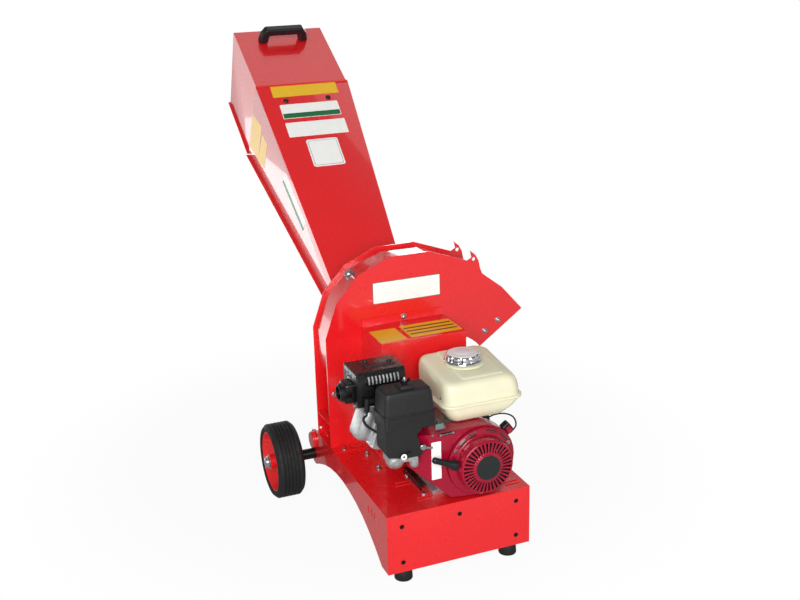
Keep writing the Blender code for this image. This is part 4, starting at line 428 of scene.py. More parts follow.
def finish_piece(name, bm, finish, body="machine", stands_for=None, slot=None, rounding=0.0, segments=2,
                 sharp=35.0, limit=35.0, tidy=True):
    """Make a bmesh one piece that rides on a body, with its finish and its rounded edges. stands_for is
    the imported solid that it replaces."""
    if tidy:
        bmesh.ops.remove_doubles(bm, verts=bm.verts, dist=2 * COINCIDENT)
        bmesh.ops.recalc_face_normals(bm, faces=bm.faces)
    mesh = bpy.data.meshes.new(name)
    bm.to_mesh(mesh)
    bm.free()
    made = add_object(name, mesh)
    for material in ([finish] if isinstance(finish, str) else finish):
        mesh.materials.append(look(material))
    mesh.shade_smooth()
    mesh.set_sharp_from_angle(angle=radians(sharp))
    if rounding:
        step = made.modifiers.new("edge", "BEVEL")
        step.width = rounding
        step.segments = segments
        step.limit_method = "ANGLE"
        step.angle_limit = radians(limit)
        step.harden_normals = True
        step.use_clamp_overlap = True
    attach(made, body)
    if stands_for:
        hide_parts(stands_for)
    slot = slot or SLOTS.get(finish)
    return made


def turned_piece(name, profile, centre, axis, steps, finish, closed=False, **how):
    """A piece that is one turned shape."""
    bm = bmesh.new()
    turned(bm, profile, centre, axis, steps, closed)
    return finish_piece(name, bm, finish, **how)


def copy_of(node):
    """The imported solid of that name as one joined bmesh, its flat faces made whole."""
    bm = bmesh.new()
    bm.from_mesh(NODES[node].data)
    bmesh.ops.remove_doubles(bm, verts=bm.verts, dist=COINCIDENT)
    bmesh.ops.dissolve_limit(bm, angle_limit=radians(0.4), verts=bm.verts, edges=bm.edges)
    return bm


def dress(nodes, finish, rounding, body="machine", slot=None, second=None):
    """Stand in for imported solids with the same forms, their edges rounded, in their real finish.
    second picks the faces that take the finish's second material."""
    for node in nodes.split():
        bm = copy_of(node)
        if second:
            for face in bm.faces:
                face.material_index = int(second(face.calc_center_median() - HOME))
        finish_piece(node + "_dressed", bm, finish, body, node, slot, rounding, tidy=False)


def paint(nodes, finish):
    """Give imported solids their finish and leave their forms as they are."""
    for node in nodes.split():
        for place in NODES[node].material_slots:
            place.material = look(finish)


# Sections and levels of the turned and stacked pieces

def drawn(*rows):
    """Rows that are written in millimetres, in metres."""
    return [tuple(value / 1000 for value in row) for row in rows]


# Pressed starter cover, from its crown down to its flange
COVER_SKIN = drawn((0, 52.7), (36.5, 52.3), (37.5, 51.1), (44.5, 50.8), (71.5, 49.4), (74.2, 48.6),
    (76.5, 46.2), (77.6, 42.5), (78.1, 20), (79, 16), (81.2, 13.6), (85, 12.5), (93.5, 11.8),
    (96.2, 10.6), (97.6, 8), (98, 1))
# Dark ring behind the slots: painted shade for the inside of the cover
COVER_SHADE_RING = drawn((38, 42), (75, 42), (75, 43.5), (38, 43.5))
COVER_DISC = drawn((0, 52.6), (34.5, 52.6), (35.2, 52.9), (35, 53.3), (0, 53.3))
# Fuel tank: bowl, rolled seam, dome and the raised crown on it
TANK_BOWL = drawn((422.2, 16, 148, 64, 208, 14), (423.4, 7, 160, 54, 220, 22),
    (430, 1, 173, 48, 230, 27), (444, -7, 194, 42, 242, 30), (462, -14, 213, 39.5, 252, 32))
TANK_SEAM = drawn((465, -14, 213, 39.5, 252, 32), (466.2, -20.5, 217.8, 35.2, 257, 35),
    (467.2, -22.2, 219, 34, 258.2, 36), (472.6, -22.2, 219, 34, 258.2, 36),
    (473.8, -20.8, 217.8, 35.2, 257, 35), (474.8, -16, 212.5, 40.2, 253, 32))
TANK_DOME = drawn((477, -16, 212, 40.4, 253, 32), (500, -16.8, 209, 40.8, 254.5, 31),
    (522, -16.8, 203, 42.4, 254, 30), (534, -14.2, 196, 45.2, 251, 30), (540, -9.6, 188, 50, 245.5, 28),
    (543, -2, 179, 58, 237, 26), (544, 12, 165, 74, 222, 22))
TANK_CROWN = drawn((538, 34, 172, 58, 244, 10), (543, 37, 169, 62, 241, 10),
    (545.8, 41, 165, 67, 237, 10), (546.6, 48, 158, 75, 229, 8))
FILLER_NECK = drawn((0, 548), (56, 548), (54, 551.5), (51, 553), (47, 553.2), (0, 553.2))
TANK_RIVET = drawn((0, -2), (4.2, -2), (4.2, 2), (2.8, 3.6), (0, 4))
# Fuel cap from its skirt to its top, and its embossed disc
FUEL_CAP = drawn((0, 0.2), (51.5, 0.2), (53.2, 1), (53.5, 3), (52.6, 4.4), (50.5, 5.4), (49.4, 6.8),
    (49, 9), (48.2, 16), (47.4, 18.6), (46, 20.6), (43.6, 22.2), (40, 23), (33, 23.6), (22, 24.1),
    (11, 24.4), (0, 24.5))
CAP_DISC = drawn((0, 23.8), (42.5, 22.4), (43, 23.2), (40.5, 24.2), (33, 25.2), (31, 24.6), (27, 24.6),
    (25, 25.6), (12, 26.4), (0, 26.8))
# Air cleaner cover: rim and dome
CLEANER_RIM = drawn((487.2, -206, -60, 12, 100, 10), (488, -207.2, -58.5, 10.8, 101.2, 11),
    (490.5, -207.2, -58.7, 10.8, 101.2, 11), (491.3, -206.2, -59.8, 11.8, 100.2, 11),
    (492, -204.8, -61.2, 13.2, 99, 12))
CLEANER_DOME = drawn((496, -204.6, -61.6, 13.4, 98.8, 12), (530, -202.4, -64.8, 15.6, 97.2, 13),
    (543, -201.2, -66.4, 16.8, 96.4, 13), (544.2, -200, -67.6, 18, 95.2, 13),
    (550, -198.5, -69.2, 19.8, 93.6, 13), (553.4, -194.5, -73.2, 24, 89.8, 13),
    (554.5, -187, -80.6, 31.6, 82.6, 10))
# Collar under the wing nut, and the ring on the fuel lever
NUT_COLLAR = drawn((0, 0), (6.2, 0), (6.2, 5), (4.8, 6), (3.6, 6), (3.6, 12), (2.8, 12.8), (0, 12.8))
LEVER_RING = drawn((3, 6), (3, 8.2), (4.4, 9.2), (7.2, 9.2), (8.4, 8), (8.4, 6))
# Starter grip: rows of (distance, half width, half height, corner radius)
GRIP = drawn((1.5, 8.5, 8.5, 7), (4, 11.5, 12.5, 9), (10, 12.5, 14, 10), (18, 11.8, 12.8, 9.8),
    (32, 9, 9.5, 8), (60, 7.8, 8.5, 7), (74, 8.2, 8.8, 7.4), (79.5, 6.6, 7, 6.2), (82, 3, 3.2, 2.8))
# Small turned parts: hub nut, skirt plug, cable clip, guard button, chute plug
HUB_NUT = drawn((0, 0), (18.5, 0), (19, 0.6), (19, 3), (17.5, 4.5), (15.5, 6), (15, 9), (13, 12),
    (9, 13.8), (0, 14.5))
SKIRT_PLUG = drawn((0, -4), (8.5, -4), (8.5, -2.8), (4.7, -2.8), (4.7, 0.1), (6.4, 0.1), (6.6, 0.5),
    (5.8, 0.8), (3.4, 0.6), (0, 0.2))
CLIP_END = drawn((0, 0.6), (3.4, 0.6), (3.4, 4), (2.6, 4.8), (0, 4.8))
GUARD_BUTTON = drawn((0, 578), (7.5, 578), (7.5, 581.5), (6, 583), (3.5, 583), (3, 581.8), (0, 581.8))
CHUTE_PLUG = drawn((0, 0), (8.8, 0), (8.8, 1.6), (7, 4), (4, 5.2), (0, 5.6))


class ShredderStep:
    """What every step of the work shares."""
    bl_options = {"REGISTER", "UNDO"}


class SHREDDER_OT_tray(ShredderStep, bpy.types.Operator):
    """Folded tray with its slots, feet, cross tube with its side plates, axle and hold-down rail"""
    bl_idname = "shredder.tray"
    bl_label = "Tray and feet"

    def execute(self, context):
        edge = sizes().sheet_edge
        dress("base_tray axle_frame", "polyester_powder_coat", edge)
        dress("hold_down_rail", "stove_paint", edge)
        top, thread = 0.0347, 0.005
        for node in ("foot_left", "foot_right"):
            low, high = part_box(node)
            radius = (high.x - low.x) / 2
            turned_piece(node + "_rubber", (
                (0, 0.001), (radius * 0.4, 0.001), (radius * 0.42, 0), (radius - 0.003, 0),
                (radius - 0.0009, 0.0009), (radius, 0.003), (radius - 0.0015, top - 0.003),
                (radius - 0.0035, top), (thread, top), (thread, top + 0.012), (0, top + 0.012)),
                Vector(((low.x + high.x) / 2, (low.y + high.y) / 2, 0)), Z_AXIS, 48, "tyre_rubber",
                stands_for=node)
        dress("axle", "black_oxide", 0.0008, slot="bright_steel")
        self.add_plugs_and_painted_shade()
        lips = bmesh.new()
        for x, y in DECK_SLOTS:
            block(lips, (x - 0.021, y + 0.0026, DECK - 0.0004), (x + 0.021, y + 0.005, DECK + 0.0012),
                  0.0006)
        finish_piece("deck_slot_lips", lips, "polyester_powder_coat")
        return {"FINISHED"}

    def add_plugs_and_painted_shade(self):
        """Dark plugs in the skirt's bolt holes, and dark backs behind the deck's and skirt's slots that
        are painted shade.
        """
        bm = bmesh.new()
        for x, z in ((-0.172, 0.174), (-0.171, 0.065), (-0.001, 0.174), (0.172, 0.174), (0.172, 0.067)):
            turned(bm, SKIRT_PLUG, spot(x, 0, z), -Y_AXIS, 24)
        # Dark blocks under the deck's slots and inside the left skirt's three slots: painted shade for
        # their hollows
        for x, y in DECK_SLOTS:
            block(bm, (x - 0.022, y - 0.0035, DECK - 0.006), (x + 0.022, y + 0.0035, DECK - 0.0034),
                  0.0004)
        for y in (0.14, 0.118, 0.096):
            block(bm, (-0.211, y - 0.005, 0.156), (-0.2095, y + 0.005, 0.18), 0.0004)
        finish_piece("tray_plugs", bm, "black_oxide", sharp=50)


class SHREDDER_OT_wheels(ShredderStep, bpy.types.Operator):
    """Grooved tyres on pressed rims with their clamp bolts, washers and domed hub nuts"""
    bl_idname = "shredder.wheels"
    bl_label = "Wheels"

    def execute(self, context):
        bore = 0.0105
        for name, side in (("left", -1), ("right", 1)):
            low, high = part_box("tyre_" + name)
            centre = (low + high) / 2
            half = (high.x - low.x) / 2
            lip = half - 0.004
            out = X_AXIS * side
            wheel = "wheel_" + name
            tyre = self.tyre(half, (high.z - low.z) / 2)
            turned_piece("tyre_" + name + "_rubber", tyre, centre, out, 128, "tyre_rubber", True,
                         body=wheel, stands_for="tyre_" + name, sharp=50)
            turned_piece("rim_" + name + "_pressed", (
                (bore, -half), (0.022, -half), (0.022, -0.011), (0.026, -0.007), (0.072, -0.006),
                (0.08, -0.01), (0.0905, -0.022), (0.0905, -lip + 0.002), (0.0915, -lip), (0.0935, -lip),
                (0.094, -lip + 0.001), (0.094, lip - 0.001), (0.0935, lip), (0.0915, lip),
                (0.0905, lip - 0.002), (0.0905, 0.016), (0.08, 0.003), (0.072, 0.001), (0.03, 0.006),
                (0.024, 0.009), (0.022, 0.013), (0.022, half - 0.001), (0.021, half), (bore, half)),
                centre, out, 96, "polyester_powder_coat", True, body=wheel, stands_for="rim_" + name,
                sharp=40)
            bolts = bmesh.new()
            for i in range(4):
                turn = pi / 4 + i * pi / 2
                seat = centre + Vector((0.0016 * side, cos(turn) * 0.06, sin(turn) * 0.06))
                hex_bolt(bolts, seat, out, 0.01, 0.0075, 0.005, 0.003, turn)
            finish_piece("rim_" + name + "_bolts", bolts, "zinc_plate", wheel)
            start = half + 0.0013
            turned_piece("hub_washer_" + name, (
                (bore, half + 0.0003), (0.0215, half + 0.0003), (0.0225, half + 0.0009), (0.022, start),
                (bore, start)), centre, out, 64, "zinc_plate", True, sharp=50)
            turned_piece("hub_nut_" + name + "_domed", HUB_NUT, centre + out * start, out, 64,
                         "chrome_plate", stands_for="hub_nut_" + name)
        return {"FINISHED"}

    def tyre(self, half, radius):
        """A tyre's section: side wall, shoulder, the grooves, and the same shoulder and wall again."""
        depth = sizes().tyre_groove
        shoulder = 0.01
        first = -half + shoulder
        pitch = 2 * (half - shoulder) / (TYRE_GROOVES + 1)
        wall = [(0.095, -half + 0.002), (0.1, -half), (radius - 0.0115, -half),
                (radius - 0.0095, -half + 0.0006), (radius - 0.0014, first - 0.0012),
                (radius - 0.0002, first + 0.001)]
        cut = ((0, -0.0034), (0.0004, -0.0028), (depth - 0.0006, -0.0014), (depth, 0),
               (depth - 0.0006, 0.0014), (0.0004, 0.0028), (0, 0.0034))
        grooves = [(radius - down, first + pitch * i + along)
                   for i in range(1, TYRE_GROOVES + 1) for down, along in cut]
        return wall + grooves + [(r, -along) for r, along in reversed(wall)]


class SHREDDER_OT_housing(ShredderStep, bpy.types.Operator):
    """Scroll housing: plates, rim band, discharge floor, the band's clamp bolt and the counter knife"""
    bl_idname = "shredder.housing"
    bl_label = "Scroll housing"

    def execute(self, context):
        dress("front_plate back_plate rim_band discharge_floor", "polyester_powder_coat",
              sizes().sheet_edge)
        dress("rim_clamp_bolt", "zinc_plate", 0.0006)
        dress("counter_knife", "turned_steel", 0.0004)
        return {"FINISHED"}


class SHREDDER_OT_rotor(ShredderStep, bpy.types.Operator):
    """Cutter disc with its knives, shaft and bearings"""
    bl_idname = "shredder.rotor"
    bl_label = "Rotor"

    def execute(self, context):
        dress("cutter_disc knife_a knife_b rotor_shaft", "turned_steel", 0.0005, "rotor")
        dress("bearing_housing", "die_cast_aluminium", 0.001)
        paint("bearing_front bearing_rear", "turned_steel")
        return {"FINISHED"}


class SHREDDER_OT_belt_drive(ShredderStep, bpy.types.Operator):
    """Pulleys, belt and their guard"""
    bl_idname = "shredder.belt_drive"
    bl_label = "Belt drive"

    def execute(self, context):
        dress("belt_guard", "polyester_powder_coat", sizes().sheet_edge)
        dress("driven_pulley", "die_cast_aluminium", 0.0006, "rotor")
        dress("drive_pulley", "die_cast_aluminium", 0.0006, "crank")
        dress("v_belt", "tyre_rubber", 0.0005)
        return {"FINISHED"}


class SHREDDER_OT_chute(ShredderStep, bpy.types.Operator):
    """Feed funnel, hood with its seam and the bow handle"""
    bl_idname = "shredder.chute"
    bl_label = "Feed chute"

    def execute(self, context):
        dress("chute_funnel chute_hood", "polyester_powder_coat", sizes().sheet_edge)
        up = Vector((0, sin(CHUTE_TILT), cos(CHUTE_TILT)))
        fold = spot(0, *CHUTE_FOOT) + up * CHUTE_LENGTH
        self.add_handle(fold)
        seam = bmesh.new()
        seat = plane_at(fold - up * 0.003 + Z_AXIS * 0.0004, X_AXIS, up)
        panel(seam, seat, 0.322, 0.007, 0.0022, 0.0008)
        finish_piece("hood_seam_lip", seam, "polyester_powder_coat", rounding=0.0006)
        return {"FINISHED"}

    def add_handle(self, fold):
        """Moulded bow handle standing on the hood, which starts at the chute's fold."""
        slope = Vector((0, sin(HOOD_TILT), cos(HOOD_TILT)))
        face = plane_at(fold + slope * (HOOD_LENGTH * 0.8 + 0.015), X_AXIS, slope.cross(X_AXIS) * -1)
        half, top = 0.0885, 0.0555
        side = [(half - 0.022, top), (half - 0.007, 0.62 * top), (half, 0), (half - 0.031, 0),
                (half - 0.034, 0.5 * top), (half - 0.043, top - 0.026)]
        bow = [(-x, y) for x, y in side[2::-1]] + side + [(-x, y) for x, y in side[:2:-1]]
        bm = bmesh.new()
        plate(bm, [face @ Vector((x + 0.0025, y, 0)) for x, y in bow], slope * -0.03)
        finish_piece("carry_handle_moulded", bm, "black_abs", stands_for="carry_handle", rounding=0.006,
                     segments=4, sharp=60, limit=25)


class SHREDDER_OT_engine_block(ShredderStep, bpy.types.Operator):
    """Crankcase, cylinder, rocker cover, crankshaft, flywheel and dipstick"""
    bl_idname = "shredder.engine_block"
    bl_label = "Engine block"

    def execute(self, context):
        dress("crankcase cylinder_and_head rocker_cover", "die_cast_aluminium", sizes().cast_edge)
        dress("crankshaft", "turned_steel", 0.0005, "crank")
        dress("flywheel", "die_cast_aluminium", 0.0006, "crank")
        dress("oil_dipstick", "glass_filled_nylon", 0.0006, "dipstick")
        return {"FINISHED"}


class SHREDDER_OT_shroud(ShredderStep, bpy.types.Operator):
    """Fan shroud, slotted starter cover with its trim, and the pull grip"""
    bl_idname = "shredder.shroud"
    bl_label = "Shroud and starter cover"

    def execute(self, context):
        dress("fan_shroud", "engine_enamel", 0.0014)
        crank = spot(CRANK[0], 0.0117, CRANK[1])
        self.add_cover(crank)
        self.add_trim(crank)
        self.add_grip()
        self.add_front_fittings()
        return {"FINISHED"}

    def add_cover(self, crank):
        """Pressed dome with a ring of radial slots cut right through."""
        count = sizes().cover_slots
        ring_from, ring_to, crown = 0.0446, 0.0714, 0.045
        bm = bmesh.new()
        turned(bm, COVER_SKIN, crank, -Y_AXIS, count * 4)
        bmesh.ops.remove_doubles(bm, verts=bm.verts, dist=COINCIDENT)
        slots = []
        for face in bm.faces:
            arm = face.calc_center_median() - crank
            turn = atan2(arm.z, arm.x) / (2 * pi) * count
            on_ring = ring_from < Vector((arm.x, arm.z)).length < ring_to and -arm.y > crown
            if on_ring and 0.25 < (turn + 0.25) % 1.0 < 0.75:
                slots.append(face)
        bmesh.ops.delete(bm, geom=slots, context="FACES")
        cover = finish_piece("recoil_cover_pressed", bm, "engine_enamel", stands_for="recoil_cover",
                             sharp=50)
        step = cover.modifiers.new("sheet", "SOLIDIFY")
        step.thickness = 0.0018
        step.offset = -1.0
        step.use_even_offset = True

    def add_trim(self, crank):
        """Black vents of painted shade, painted shadows under the top plates, plates and bolts on the
        cover's flange, a dark ring of painted shade behind its slots and its disc.
        """
        vents = bmesh.new()
        # Black arcs on the flange: painted shade inside its vents
        for radius, start, end in ((0.0925, 60, 82), (0.0865, 57, 76), (0.0925, 34, 54),
                                   (0.0865, 34, 52)):
            arc_bar(vents, crank - Y_AXIS * 0.0112, radius, 0.003, 0.0012, start, end)
        # Black arcs just inside the two top plates: their painted shadows
        for start, end in TOP_VENTS:
            arc_bar(vents, crank - Y_AXIS * 0.012, 0.085, 0.0035, 0.0012, start, end)
        finish_piece("cover_vents", vents, "black_vinyl")
        plates = bmesh.new()
        for start, end in TOP_VENTS:
            arc_bar(plates, crank - Y_AXIS * 0.0112, 0.092, 0.0075, 0.001, start, end)
        finish_piece("cover_vent_plates", plates, "zinc_plate")
        bolts = bmesh.new()
        for turn in (149, 28, 268):
            arm = Vector((cos(radians(turn)), 0, sin(radians(turn))))
            seat = crank + arm * 0.0905 - Y_AXIS * 0.0116
            hex_bolt(bolts, seat, -Y_AXIS, 0.0075, 0.0055, 0.0036, turn=turn)
        finish_piece("cover_bolts", bolts, "zinc_plate")
        # A black ring behind the slots stands for the shade inside the cover: painted shade
        turned_piece("cover_screen", COVER_SHADE_RING, crank, -Y_AXIS, 96, "black_oxide", True)
        turned_piece("cover_disc", COVER_DISC, crank, -Y_AXIS, 96, "black_vinyl")

    def add_grip(self):
        """Moulded T-grip with its rope."""
        lean = radians(24)
        pull = Vector((-cos(lean), 0, sin(lean)))
        seat = spot(-0.01166, -0.019, 0.32958)
        turn = plane_at(seat, Y_AXIS, pull.cross(Y_AXIS))
        levels = eased([(along, -a, a, -b, b, corner) for along, a, b, corner in GRIP])
        bm = bmesh.new()
        stacked(bm, levels, turn, 6)
        finish_piece("starter_grip_moulded", bm, "black_abs", "pull_grip", "starter_grip", sharp=60)
        rope = bmesh.new()
        bar(rope, seat - pull * 0.1, seat + pull * 0.006, 0.0022, 12)
        finish_piece("starter_rope", rope, "braided_nylon", "pull_grip")

    def add_front_fittings(self):
        """A dark panel of painted shade for the slot's hollow, a cable clip and a round plug on the
        shroud's front.
        """
        bm = bmesh.new()
        # A black panel barely proud of the shroud: painted shade where the slot is hollow
        face = plane_at(spot(-0.031, SHROUD_FRONT, 0.4152), X_AXIS, Z_AXIS)
        panel(bm, face, 0.05, 0.0085, 0.0008, 0.004)
        finish_piece("shroud_slot", bm, "black_oxide")
        bm = bmesh.new()
        ends = ((-0.0505, 0.415), (-0.0125, 0.416))
        bar(bm, *[spot(x, SHROUD_FRONT - 0.003, z) for x, z in ends], 0.0017, 16)
        for x, z in ends:
            turned(bm, CLIP_END, spot(x, SHROUD_FRONT, z), -Y_AXIS, 20)
        turned(bm, ((0, 0), (0.003, 0), (0.0028, 0.0014), (0, 0.0018)),
               spot(-0.0725, SHROUD_FRONT, 0.4181), -Y_AXIS, 20)
        finish_piece("shroud_clip", bm, "zinc_plate")


class SHREDDER_OT_tank(ShredderStep, bpy.types.Operator):
    """Fuel tank with its seam and rivet, and its fluted cap"""
    bl_idname = "shredder.tank"
    bl_label = "Fuel tank"

    def execute(self, context):
        self.add_tank()
        self.add_cap()
        return {"FINISHED"}

    def add_tank(self):
        """Drawn bowl, rolled seam and dome, whose crown rises towards the back."""
        bm = bmesh.new()
        stacked(bm, eased(TANK_BOWL) + TANK_SEAM + eased(TANK_DOME, 5), steps=10)
        stacked(bm, eased(TANK_CROWN), steps=6)
        lean, level_until, full_from, middle = 0.11, 0.482, 0.538, 0.12
        for vert in bm.verts:
            place = vert.co - HOME
            share = min(1.0, max(0.0, (place.z - level_until) / (full_from - level_until)))
            vert.co.z += lean * (place.y - middle) * share
        turned(bm, FILLER_NECK, spot(0.088, 0.1525, 0), Z_AXIS, 64)
        finish_piece("fuel_tank_drawn", bm, "tank_enamel", stands_for="fuel_tank", sharp=55)
        turned_piece("tank_rivet", TANK_RIVET, spot(-0.0178, 0.076, 0.49), -X_AXIS, 20, "zinc_plate")

    def add_cap(self):
        """Pressed cap whose skirt is dented by flutes, with its embossed disc."""
        seat = spot(0.087, 0.16, 0.5535)
        bm = bmesh.new()
        turned(bm, FUEL_CAP, seat, Z_AXIS, 144)
        flutes = sizes().cap_flutes
        low, high, skirt, dent = 0.0062, 0.0215, 0.042, 0.085
        for vert in bm.verts:
            arm = vert.co - seat
            if low < arm.z < high and Vector((arm.x, arm.y)).length > skirt:
                share = dent * max(0.0, cos(flutes * atan2(arm.y, arm.x))) ** 1.5
                vert.co.x -= arm.x * share
                vert.co.y -= arm.y * share
        finish_piece("fuel_cap_pressed", bm, "chrome_plate", "cap", "fuel_cap", sharp=60)
        # The disc's soft white is painted reflection of light overhead
        turned_piece("fuel_cap_disc", CAP_DISC, seat, Z_AXIS, 96, "satin_chrome", body="cap", sharp=60)


class SHREDDER_OT_air_cleaner(ShredderStep, bpy.types.Operator):
    """Air cleaner, carburettor and their levers"""
    bl_idname = "shredder.air_cleaner"
    bl_label = "Air cleaner and carburettor"

    def execute(self, context):
        dress("air_cleaner_base", "glass_filled_nylon", sizes().moulded_edge)
        self.add_cover()
        dress("wing_nut", "black_oxide", 0.0004, "cover_nut", "zinc_plate")
        turned_piece("wing_nut_collar", NUT_COLLAR, spot(-0.13, 0.058, 0.5655), Z_AXIS, 24,
                     "zinc_plate", body="cover_nut", sharp=50)
        dress("carburettor", "die_cast_aluminium", 0.0008)
        dress("fuel_lever", "black_abs", 0.0005, "fuel_tap")
        turned_piece("fuel_lever_ring", LEVER_RING, spot(-0.158, 0.0117, 0.376), -Y_AXIS, 32,
                     "white_vinyl", True, body="fuel_tap", sharp=60)
        dress("choke_lever", "zinc_plate", 0.0005, "choke")
        dress("throttle_lever", "grey_polymer", 0.0005, "throttle")
        paint("air_filter", "tank_enamel")
        return {"FINISHED"}

    def add_cover(self):
        """Moulded cover with its rim, the boss under the wing nut and a lug."""
        bm = bmesh.new()
        stacked(bm, CLEANER_RIM + eased(CLEANER_DOME))
        boss = (-0.153, -0.107, 0.038, 0.078)
        stacked(bm, drawn_in(boss, ((0.548, 0, 0.006), (0.556, 0.001, 0.006), (0.5582, 0.002, 0.006),
                                    (0.559, 0.0038, 0.005))), steps=6)
        block(bm, (-0.153, 0.029, 0.55), (-0.112, 0.04, 0.564), 0.002)
        finish_piece("air_cleaner_cover_moulded", bm, "glass_filled_nylon",
                     stands_for="air_cleaner_cover", sharp=60)


class SHREDDER_OT_muffler(ShredderStep, bpy.types.Operator):
    """Muffler with its slotted guard and end plate"""
    bl_idname = "shredder.muffler"
    bl_label = "Muffler"

    def execute(self, context):
        outlet_from, pitch = -0.2225, 0.0112
        dress("muffler", ("aluminised_steel", "stove_paint"), 0.0012, slot="black_heat_paint",
              second=lambda place: place.x < outlet_from)
        bm = bmesh.new()
        block(bm, (-0.266, 0.146, 0.488), (-0.226, 0.198, 0.546), 0.008, 3)
        block(bm, (-0.2395, 0.14, 0.482), (-0.2345, 0.204, 0.552), 0.0015)
        finish_piece("outlet_deflector", bm, "stove_paint", sharp=50)
        bm = bmesh.new()
        for y, z in ((0.15, 0.558), (0.194, 0.558), (0.15, 0.478)):
            hex_bolt(bm, spot(-0.2365, y, z), -X_AXIS, 0.01, 0.007, 0.0045, turn=y * 20)
        finish_piece("outlet_bolts", bm, "zinc_plate")
        bm = bmesh.new()
        top = (-0.202, -0.11, 0.16, 0.218)
        stacked(bm, drawn_in(top, ((0.5765, 0, 0.012), (0.5776, 0, 0.012), (0.579, 0.003, 0.012),
                                   (0.5796, 0.006, 0.011))))
        for x, y in ((-0.1855, 0.206), (-0.1225, 0.186)):
            turned(bm, GUARD_BUTTON, spot(x, y, 0), Z_AXIS, 24)
        finish_piece("guard_emboss", bm, "stove_paint", sharp=50)
        dress("muffler_guard", "stove_paint", 0.0008)
        dress("muffler_end_plate", "stove_paint", 0.0006, slot="zinc_plate")
        bm = bmesh.new()
        for i in range(8):
            low, high = 0.1335 + pitch * i, 0.138 + pitch * i
            block(bm, (-0.2402, low, 0.5535), (-0.2386, high, 0.5735), 0.0004)
        finish_piece("end_plate_louvres", bm, "zinc_plate")
        return {"FINISHED"}


class SHREDDER_OT_ignition(ShredderStep, bpy.types.Operator):
    """Spark plug, its cap and lead, and the stop switch with its lead"""
    bl_idname = "shredder.ignition"
    bl_label = "Ignition and stop switch"

    def execute(self, context):
        dress("spark_plug", "zinc_plate", 0.0004)
        dress("plug_cap", "black_abs", 0.001)
        dress("ignition_lead", "tyre_rubber", 0.0)
        dress("stop_switch", "black_abs", 0.001)
        dress("switch_rocker", "engine_enamel", 0.0005, "rocker")
        dress("stop_lead", "tyre_rubber", 0.0)
        return {"FINISHED"}


class SHREDDER_OT_fasteners(ShredderStep, bpy.types.Operator):
    """Bolts and nuts of the sheet-metal parts, and the heads that hold the engine down"""
    bl_idname = "shredder.fasteners"
    bl_label = "Fasteners"

    def execute(self, context):
        bm = bmesh.new()
        for i, (x, z, stud) in enumerate(((0.346, 0.538, STUD), (0.301, 0.509, STUD),
                                          (-0.196, 0.3875, 0.0), (0.196, 0.24, 0.0))):
            hex_bolt(bm, spot(x, FRONT_PLATE, z), -Y_AXIS, stud=stud, turn=0.2 + i)
        clamp = spot(0.031, FRONT_PLATE - 0.0033, 0.599)
        hex_bolt(bm, clamp, -Y_AXIS, washer=0.009, stud=STUD, turn=0.5)
        for i, x in enumerate((-0.18, 0.19)):
            hex_bolt(bm, spot(x, 0.436, DECK + 0.0043), Z_AXIS, turn=0.3 + i)
        for i, (x, y) in enumerate(((-0.128, 0.38), (-0.13, 0.28))):
            hex_bolt(bm, spot(x, y, DECK), Z_AXIS, 0.013, 0.0095, 0.0065, STUD, 0.7 + i)
        for x in (-0.0715, 0.183):
            for y in (0.082, 0.2):
                hex_bolt(bm, spot(x, y, DECK + 0.0003), Z_AXIS, 0.012, 0.0, 0.004, turn=y * 9)
        finish_piece("machine_bolts", bm, "zinc_plate")
        return {"FINISHED"}


